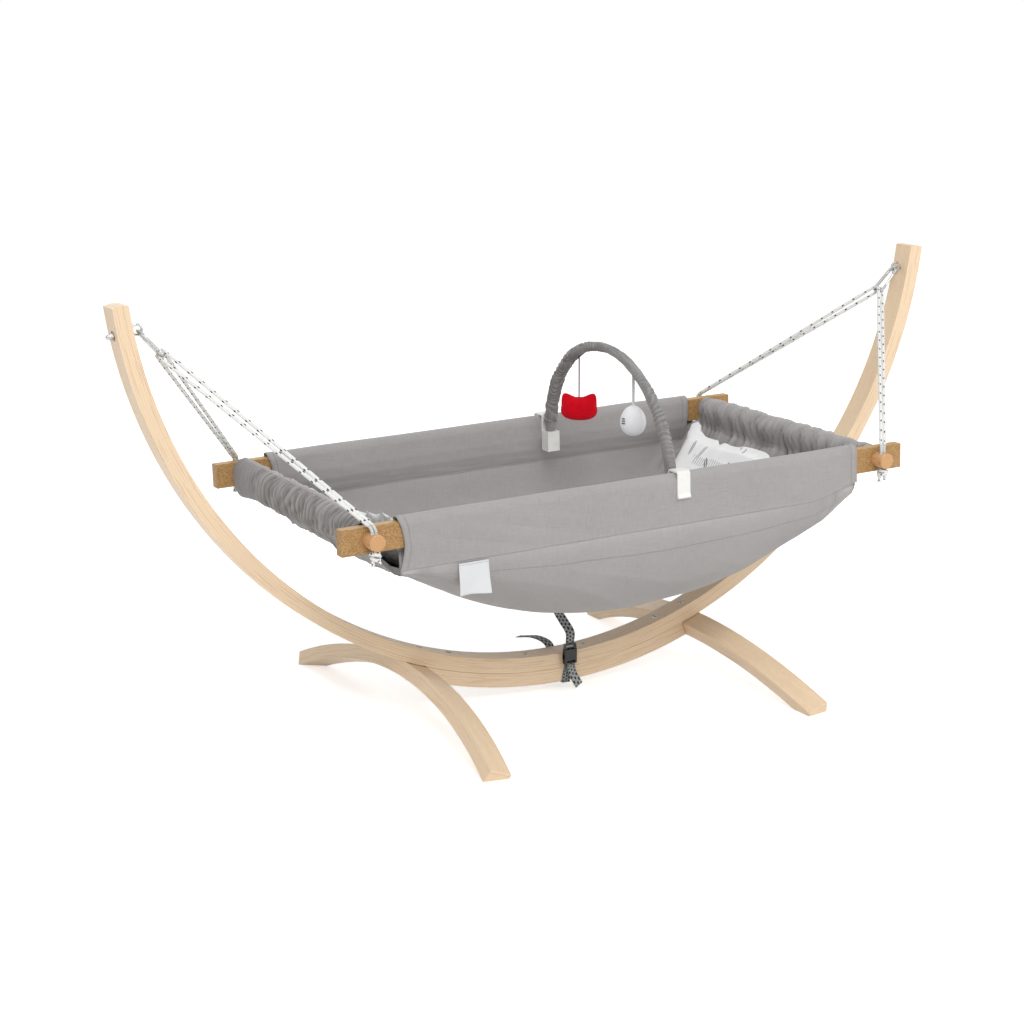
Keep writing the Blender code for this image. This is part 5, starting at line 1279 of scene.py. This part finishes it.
class CRADLE_OT_pad(bpy.types.Operator):
    """Quilted pad that lies in the sling and swells between its sewn channels"""

    bl_idname = "cradle.pad"
    bl_label = "Pad"

    half_length = 0.392
    half_width = 0.196

    def execute(self, context):
        form = self.cut_form()
        form = self.filled(context.scene, form)
        self.add_creases(form)
        layer = form.loops.layers.uv.new("cloth")
        back = CRADLE.inverted()
        for face in form.faces:
            for loop in face.loops:
                local = back @ loop.vert.co
                loop[layer].uv = (local.x, local.y)
        mark_valleys(form, 12, 6 * MM)
        made = finish_piece("quilted_pad", form, printed_cotton(), "cradle", ["pad"], 80)
        fine = made.modifiers.new("fine", "SUBSURF")
        fine.levels = 1
        fine.render_levels = 1
        return {"FINISHED"}

    def cut_form(self):
        """The pad before it is filled: two faces sewn together along their edges."""
        form = bmesh.new()
        bmesh.ops.create_grid(form, x_segments=120, y_segments=60, size=1)
        made = bmesh.ops.extrude_face_region(form, geom=list(form.faces))
        upper = {item for item in made["geom"] if isinstance(item, bmesh.types.BMVert)}
        for vert in form.verts:
            vert.co = CRADLE @ self.place(vert.co.x, vert.co.y, vert in upper)
        bmesh.ops.recalc_face_normals(form, faces=form.faces)
        return form

    def filled(self, scene, form):
        """Blows the form up like a filled cover, with no point moved further than the pad's puff."""
        data = bpy.data.meshes.new("pad form")
        form.to_mesh(data)
        form.free()
        helper = bpy.data.objects.new("pad form", data)
        scene.collection.objects.link(helper)
        remesh = helper.modifiers.new("voxels", "REMESH")
        remesh.mode = "VOXEL"
        remesh.voxel_size = 5 * MM
        start = self.evaluated(helper)
        helper.modifiers.clear()
        helper.data = start
        cloth = helper.modifiers.new("cover", "CLOTH")
        cloth.settings.quality = 4
        cloth.settings.use_pressure = True
        cloth.settings.uniform_pressure_force = 4
        cloth.settings.effector_weights.gravity = 0
        cloth.point_cache.frame_start = 1
        cloth.point_cache.frame_end = 20
        for step in range(1, 21):
            scene.frame_set(step)
        full = self.evaluated(helper)
        made = bmesh.new()
        made.from_mesh(full)
        made.verts.ensure_lookup_table()
        made.normal_update()
        for vert, was in zip(made.verts, start.vertices):
            move = vert.co - was.co
            limit = sizes().pad_puff * (1 if vert.normal.z > 0.1 else 0.1)
            if move.length > limit:
                move *= limit / move.length
            vert.co = was.co + move
        for _ in range(3):
            bmesh.ops.smooth_vert(
                made, verts=made.verts, factor=0.4, use_axis_x=True, use_axis_y=True, use_axis_z=True
            )
        bpy.data.objects.remove(helper)
        scene.frame_set(1)
        return made

    def evaluated(self, helper):
        bpy.context.view_layer.update()
        graph = bpy.context.evaluated_depsgraph_get()
        return bpy.data.meshes.new_from_object(helper.evaluated_get(graph))

    def add_creases(self, form):
        """Soft creases of the loose cover on its upper side."""
        form.normal_update()
        back = CRADLE.inverted()
        moves = []
        for vert in form.verts:
            x, y, _ = back @ vert.co
            fold = 0.5 - abs(spline_noise(x * 9 + y * 7, y * 13 - x * 5, 2.2)) * 2
            small = spline_noise(x * 40, y * 40, 6.1)
            amount = (fold * 1.6 + small * 0.5) * MM if vert.normal.z > 0.3 else 0
            moves.append(vert.normal * amount)
        for vert, move in zip(form.verts, moves):
            vert.co += move

    def place(self, u, v, top):
        """A point of the pad's underside or top, u and v from -1 to 1."""
        side = math.asin(max(-1, min(1, v * self.half_width / SLING_EDGE))) / (math.pi / 2)
        under = sling_place(u * self.half_length, side)
        under.z += 3.2 * MM + crease(under.x, under.y, under.z) * CREASE_DEPTH
        end_lift, end_puff = (0.052, 24 * MM) if u > 0 else (0.034, 26 * MM)
        under.z += end_lift * abs(u) ** 6 + 0.0025 * u * u
        under.x *= 1 - 0.02 * abs(u) ** 2 * (1 - abs(v) ** 3)
        under.y = v * self.half_width * (1 - 0.03 * (1 - abs(u) ** 3))
        rim = max(abs(u), abs(v)) ** 6
        if not top:
            return under
        quilt = 0.75 + 0.25 * min(abs(math.sin(u * math.pi * 2.5)) ** 0.5, 1)
        puff = 5 * MM + 17 * MM * (1 - rim) * quilt + end_puff * abs(u) ** 6
        rumple = (
            spline_noise(u * 5, v * 3.5, 4.2) * 5 + spline_noise(u * 13, v * 8, 1.2) * 2.4
        ) * MM * (1 - rim * 0.5)
        peak = 0.014 * max(0, (abs(u) - 0.8) / 0.2) * max(0, (abs(v) - 0.7) / 0.3)
        if u < 0 and v < 0:
            peak = 0.024 * max(0, (-u - 0.6) / 0.4) ** 1.5 * min(-v * 1.3, 1)
        under.z += puff + rumple + peak
        return under


class CRADLE_OT_toy_arch(bpy.types.Operator):
    """Gathered cover of the toy arch, and its plastic clips"""

    bl_idname = "cradle.toy_arch"
    bl_label = "Toy arch"

    def execute(self, context):
        points = []
        for index in range(181):
            angle = math.pi * index / 180
            points.append(Vector((0, -ARCH_HALF_SPAN * math.cos(angle), ARCH_HEIGHT * math.sin(angle))))
        feet = [Vector((0, points[0].y, z * MM)) for z in (-16, -11, -6, -2)]
        back = [Vector((0, points[-1].y, z * MM)) for z in (-2, -6, -11, -16)]
        path = [ARCH @ point for point in self.even(feet + points + back, 470)]
        form = bmesh.new()
        add_tube(form, path, self.radius, 32, Vector((1, 0, 0)))
        mark_valleys(form, 8, 2.2 * MM)
        material = grey_canvas("grey melange cotton", base="heather", slub=1.6)
        made = finish_piece(
            "gathered_arch_cover", form, material, "toy_arch_set", ["toy_arch"], 60
        )
        paint(moulded_plastic("white moulded polypropylene", "plastic", 0.36, 0.8 * MM), "arch_clip_")
        return {"FINISHED"}

    def even(self, points, count):
        """The same line with evenly spaced points."""
        runs = [0.0]
        for a, b in zip(points, points[1:]):
            runs.append(runs[-1] + (b - a).length)
        made = []
        index = 0
        for step in range(count + 1):
            run = runs[-1] * step / count
            while index < len(points) - 2 and runs[index + 1] < run:
                index += 1
            share = (run - runs[index]) / (runs[index + 1] - runs[index])
            made.append(points[index].lerp(points[index + 1], share))
        return made

    def radius(self, run, turn):
        """Folds round the tube: bunched on the rear leg, drawn tight over the top, smoother in front."""
        x, y = math.cos(turn), math.sin(turn)
        share = run / 0.669
        leg = abs(share * 2 - 1)
        drift = noise.noise(Vector((run * 24, x * 0.3, y * 0.3))) * 2.4
        ridge = abs(math.sin(math.pi * (run / 0.0105 + drift))) ** 0.7 - 0.55
        shift = noise.noise(Vector((run * 50, x * 0.6, 4.0 + y * 0.6))) * 1.8
        fine = abs(math.sin(math.pi * (run / 0.0056 + shift))) ** 0.8 - 0.6
        bunched = 0.25 + 0.85 * min(max((share - 0.45) / 0.3, 0), 1)
        tight = min(max(bunched + 0.8 * noise.noise(Vector((run * 18, x * 0.8, 3.3 + y * 0.8))), 0.05), 1.2)
        puff = noise.noise(Vector((run * 40, x * 1.2, y * 1.2)))
        swell = 0.0071 + 0.0026 * leg + 0.0012 * leg * bunched
        if min(run, 0.669 - run) < 0.021:
            return 0.0081
        return swell + (0.0028 * ridge + 0.0012 * fine) * tight + 0.0012 * puff


def hang_frame(place):
    """Origin on the arch's axis, upright in the world, turned to the camera's side."""
    height = ARCH_HEIGHT * math.sqrt(1 - (place / ARCH_HALF_SPAN) ** 2)
    spot = ARCH @ Vector((0, place, height))
    return Matrix.Translation(spot) @ Matrix.Rotation(math.radians(-1.56 - 4.93), 4, "Z")


def arch_slope(place):
    run = ARCH_HEIGHT * place / ARCH_HALF_SPAN**2 / math.sqrt(1 - (place / ARCH_HALF_SPAN) ** 2)
    return math.atan(abs(run))


class CRADLE_OT_red_toy(bpy.types.Operator):
    """Red felt toy with two ears, on its string"""

    bl_idname = "cradle.red_toy"
    bl_label = "Red toy"

    drop = 0.079
    size = Vector((0.034, 0.060, 0.042))

    def execute(self, context):
        hang = hang_frame(TOY_SPREAD)
        turned = hang @ Matrix.Rotation(TOY_TURN, 4, "Z")
        form = bmesh.new()
        bmesh.ops.create_uvsphere(form, u_segments=72, v_segments=48, radius=1)
        for vert in form.verts:
            vert.co = turned @ (
                self.shape(vert.co.normalized()) + Vector((0, 0, -self.drop - self.size.z / 2))
            )
        material = felt("red felt", "red", colour("red_dark"))
        solids = ["red_toy_body", "red_toy_ear_front", "red_toy_ear_rear"]
        made = finish_piece("red_felt_toy", form, material, "red_toy", solids, 70)
        top = ARCH_TUBE_RADIUS / math.cos(arch_slope(TOY_SPREAD)) + 0.0006
        path = [hang @ Vector((0, 0, -z)) for z in self.steps(top, self.drop + 0.003)]
        form = bmesh.new()
        add_tube(form, path, self.string_radius, 10, Vector((1, 0, 0)))
        string = felt("twisted cotton string", "string", linear("#3A0A10"), 0.5)
        finish_piece("red_toy_cord", form, string, "red_toy", ["red_toy_string"], 70)
        return {"FINISHED"}

    def steps(self, start, end):
        return [start + (end - start) * index / 60 for index in range(61)]

    def string_radius(self, run, turn):
        return 0.0011 + 0.00012 * math.cos(2 * (turn + run * 1800))

    def shape(self, way):
        """A flat-bottomed ball, wide low down, with two pointed ears at its top corners."""
        x, y, z = way
        reach = (abs(x) ** 2.3 + abs(y) ** 2.5 + abs(z) ** 2.5) ** (-1 / 2.4)
        spot = Vector((x * self.size.x, y * self.size.y, z * self.size.z)) * reach / 2
        low = (0.5 - spot.z / self.size.z) if spot.z < self.size.z / 2 else 0
        spot.y *= 0.90 + 0.13 * math.sin(min(max(low, 0), 1) * math.pi * 0.62)
        spot.x *= 0.92 + 0.08 * low
        spot.z *= 0.94
        for side in (-1, 1):
            ear = Vector((0, side * 0.70, 0.714))
            near = math.acos(max(-1, min(1, ear.dot(way))))
            tip = max(0, 1 - near / 0.62)
            tip = tip * tip * (3 - 2 * tip)
            spot += Vector((0, side * 0.0046, 0.0100)) * tip
        seam = math.exp(-((x / 0.05) ** 2))
        return spot * (1 + 0.025 * seam)


class CRADLE_OT_white_toy(bpy.types.Operator):
    """White egg-shaped toy on its ribbon, with three small stitches"""

    bl_idname = "cradle.white_toy"
    bl_label = "White toy"

    drop = 0.0595
    size = Vector((0.022, 0.040, 0.048))

    def execute(self, context):
        hang = hang_frame(-TOY_SPREAD)
        turned = hang @ Matrix.Rotation(TOY_TURN, 4, "Z")
        form = bmesh.new()
        bmesh.ops.create_uvsphere(form, u_segments=64, v_segments=40, radius=1)
        for vert in form.verts:
            x, y, z = vert.co.normalized()
            seam = 0.05 * math.exp(-((x / 0.06) ** 2))
            spot = Vector(
                (x * self.size.x, y * self.size.y * (1 - 0.1 * z), z * self.size.z)
            ) / 2 * (1 + seam)
            vert.co = turned @ (spot + Vector((0, 0, -self.drop - self.size.z / 2)))
        material = felt("white felt", "plush", linear("#E6E7E9"))
        made = finish_piece(
            "white_felt_toy", form, material, "white_toy", ["white_toy_body"], 70
        )
        self.stitches(turned)
        self.ribbon(hang)
        return {"FINISHED"}

    def stitches(self, turned):
        form = bmesh.new()
        for index in range(3):
            y = 0.0150
            z = -self.drop - self.size.z / 2 - 0.0035 + index * 0.0038
            points = []
            for step in range(7):
                side = y - 0.0024 + 0.0008 * step
                height = z + self.drop + self.size.z / 2
                inside = max(0, 1 - (side / 0.0203) ** 2 - (height / 0.024) ** 2)
                bow = 0.0005 * math.sin(math.pi * step / 6)
                points.append(turned @ Vector((-0.011 * math.sqrt(inside) - bow, side, z)))
            add_tube(form, points, self.stitch_radius, 6, Vector((0, 0, 1)))
        thread = felt("black sewing thread", "black", linear("#000000"), 0.2)
        finish_piece("toy_stitches", form, thread, "white_toy", (), 70)

    def stitch_radius(self, run, turn):
        return 0.0008

    def ribbon(self, hang):
        top = ARCH_TUBE_RADIUS / math.cos(arch_slope(TOY_SPREAD)) + 0.0008
        length = self.drop + 0.001 - top

        def place(u, v):
            twist = 0.5 * (u - 0.5)
            half = (v - 0.5) * 0.005
            return hang @ Vector((half * math.cos(twist), half * math.sin(twist), -top - length * u))

        form = bmesh.new()
        wrap_cloth(form, 40, 6, place, (length, 0.005))
        made = finish_piece(
            "toy_ribbon", form, woven_label(), "white_toy", ["white_toy_ribbon"], 60
        )
        give_thickness(made, 0.6 * MM, 0)


class CRADLE_OT_strap(bpy.types.Operator):
    """Safety strap and its side-release buckle"""

    bl_idname = "cradle.strap"
    bl_label = "Safety strap"

    width = 0.015
    thick = 0.0014
    place_x = 0.017
    front = -0.0204 - 0.0007 - 0.0003

    def execute(self, context):
        webbing = dotted_webbing()
        under = BOW_CENTRE.z - (ARM_OUTER_RADIUS + SEAT_GAP + 0.0238)
        off = self.thick / 2 + SEAT_GAP
        self.loop(webbing, under, off)
        self.tail(webbing, under)
        self.upper(webbing)
        paint(moulded_plastic("black moulded acetal", "black", 0.24, 0.6 * MM), "buckle_")
        return {"FINISHED"}

    def band(self, name, points, steps, ways, webbing, body, solids, joined=""):
        """A flat band along a smooth path; ways(share) directs its width, joined is its sewn-on end."""
        path = smooth_path(points, steps)
        if joined != "start":
            path = [points[0] - (points[1] - points[0]).normalized() * self.thick] + path
        if joined != "end":
            path = path + [points[-1] + (points[-1] - points[-2]).normalized() * self.thick]
        last = len(path) - 1

        def place(u, v):
            index = round(u * last)
            ahead = (path[min(index + 1, last)] - path[max(index - 1, 0)]).normalized()
            wide = ways(u)
            wide = (wide - ahead * wide.dot(ahead)).normalized()
            return path[index] + wide * (v - 0.5) * self.width

        form = bmesh.new()
        wrap_cloth(form, last, 8, place, (path_length(path), self.width))
        made = finish_piece(name, form, webbing, body, solids, 60)
        give_thickness(made, self.thick, 0)
        return made

    def loop(self, webbing, under, off):
        x = self.place_x
        front = -0.020 - off
        rear = 0.020 + off + SEAT_GAP
        top = 0.072 - 0.026
        corner = 0.0012
        crest = self.width / 3
        floor_height = 0.0646
        points = [
            Vector((x, front, top - SEAT_GAP - self.thick)), Vector((x, front, top - self.width / 2)),
            Vector((x - 2 * corner, front, (top + under - off) / 2)),
            Vector((x - crest, front, under - off + corner)),
            Vector((x - crest, front + corner, under - off)),
            Vector((x - crest, rear - corner, under - off)),
            Vector((x - crest, rear, under - off + corner)),
            Vector((x - crest, rear, (under - off + floor_height) / 2)),
            Vector((x - 2 * crest, rear + crest, floor_height + crest / 2)),
            Vector((x - 4 * crest, rear + 0.031, floor_height + 2 * crest)),
            Vector((x - 7 * crest, rear + 0.062, floor_height + crest))
        ]
        self.band("webbing_loop", points, 6, self.level, webbing, "stand", ["strap_loop"])

    def level(self, share):
        return Vector((1, 0, 0))

    def tail(self, webbing, under):
        low = 0.072 - 0.026 - SEAT_GAP - self.thick
        front = -0.020 - self.thick - 2 * SEAT_GAP - 0.00425 - self.thick
        x = self.place_x
        points = [
            Vector((x + self.thick, front, low)), Vector((x + self.thick, front, low - self.width / 3)),
            Vector((x + self.width / 3, front - self.thick, low - 0.018)),
            Vector((x + self.width, front - 2 * self.thick, low - 0.036))
        ]
        self.band("webbing_tail", points, 8, self.level, webbing, "stand", ["strap_tail"])

    def upper(self, webbing):
        low = Vector(
            (
                self.place_x, -0.020 - self.thick - 2 * SEAT_GAP - 0.00425,
                0.072 + 0.009 + 0.0006 + self.thick
            )
        )
        local = CRADLE.inverted() @ Vector((0.0105, 0, 0))
        top = CRADLE @ sling_place(local.x, 0) - Vector((0, 0, 0.0006 + self.thick))
        quarter = Vector((0, 0, (top.z - low.z) / 4))
        rise = low + quarter
        hang = top - quarter
        path = smooth_path([low, rise, low.lerp(top, 0.5), hang, top], 8)
        cut = 11
        last = len(path) - 1

        def lower_way(share):
            return self.twisted(share * cut / last)

        def upper_way(share):
            return self.twisted((cut + share * (last - cut)) / last)

        made = self.band("webbing_at_plug", path[: cut + 1], 1, lower_way, webbing, "stand", [], "end")
        self.make_final(made)
        tuple(path[cut])
        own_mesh(made)
        made = self.band("webbing_upper", path[cut:], 1, upper_way, webbing, None, ["strap_upper"], "start")
        self.make_final(made)
        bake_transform(made, "stand", "cradle", start=tuple(path[cut]), end=tuple(top))

    def twisted(self, share):
        """The direction of the width, a quarter turn from the plug to the sling."""
        turn = math.pi / 2 * share
        return Vector((math.cos(turn), -math.sin(turn), 0))

    def make_final(self, made):
        """Applies the band's thickness, so that its mesh is final."""
        bpy.context.view_layer.update()
        graph = bpy.context.evaluated_depsgraph_get()
        data = bpy.data.meshes.new_from_object(made.evaluated_get(graph))
        made.modifiers.clear()
        made.data = data


class CRADLE_PT_panel(bpy.types.Panel):
    """Lists the cradle's pieces in the sidebar"""

    bl_label = "Hammock Cradle"
    bl_idname = "CRADLE_PT_panel"
    bl_space_type = "VIEW_3D"
    bl_region_type = "UI"
    bl_category = "Cradle"

    def draw(self, context):
        for step in STEPS:
            self.layout.operator(step.bl_idname)
        for group in (context.scene.cradle_sizes, context.scene.cradle_colours):
            box = self.layout.box()
            for key in group.__annotations__:
                box.prop(group, key)


STEPS = (
    CRADLE_OT_stage, CRADLE_OT_ropes, CRADLE_OT_wood, CRADLE_OT_hardware, CRADLE_OT_canvas, CRADLE_OT_pad,
    CRADLE_OT_toy_arch, CRADLE_OT_red_toy, CRADLE_OT_white_toy, CRADLE_OT_strap
)
CLASSES = (CradleSizes, CradleColours, *STEPS, CRADLE_PT_panel)


def register():
    for item in CLASSES:
        bpy.utils.register_class(item)
    bpy.types.Scene.cradle_sizes = bpy.props.PointerProperty(type=CradleSizes)
    bpy.types.Scene.cradle_colours = bpy.props.PointerProperty(type=CradleColours)


def unregister():
    del bpy.types.Scene.cradle_colours
    del bpy.types.Scene.cradle_sizes
    for item in reversed(CLASSES):
        bpy.utils.unregister_class(item)


def main():
    register()
    for step in STEPS:
        space, name = step.bl_idname.split(".")
        getattr(getattr(bpy.ops, space), name)()


if __name__ == "__main__":
    main()
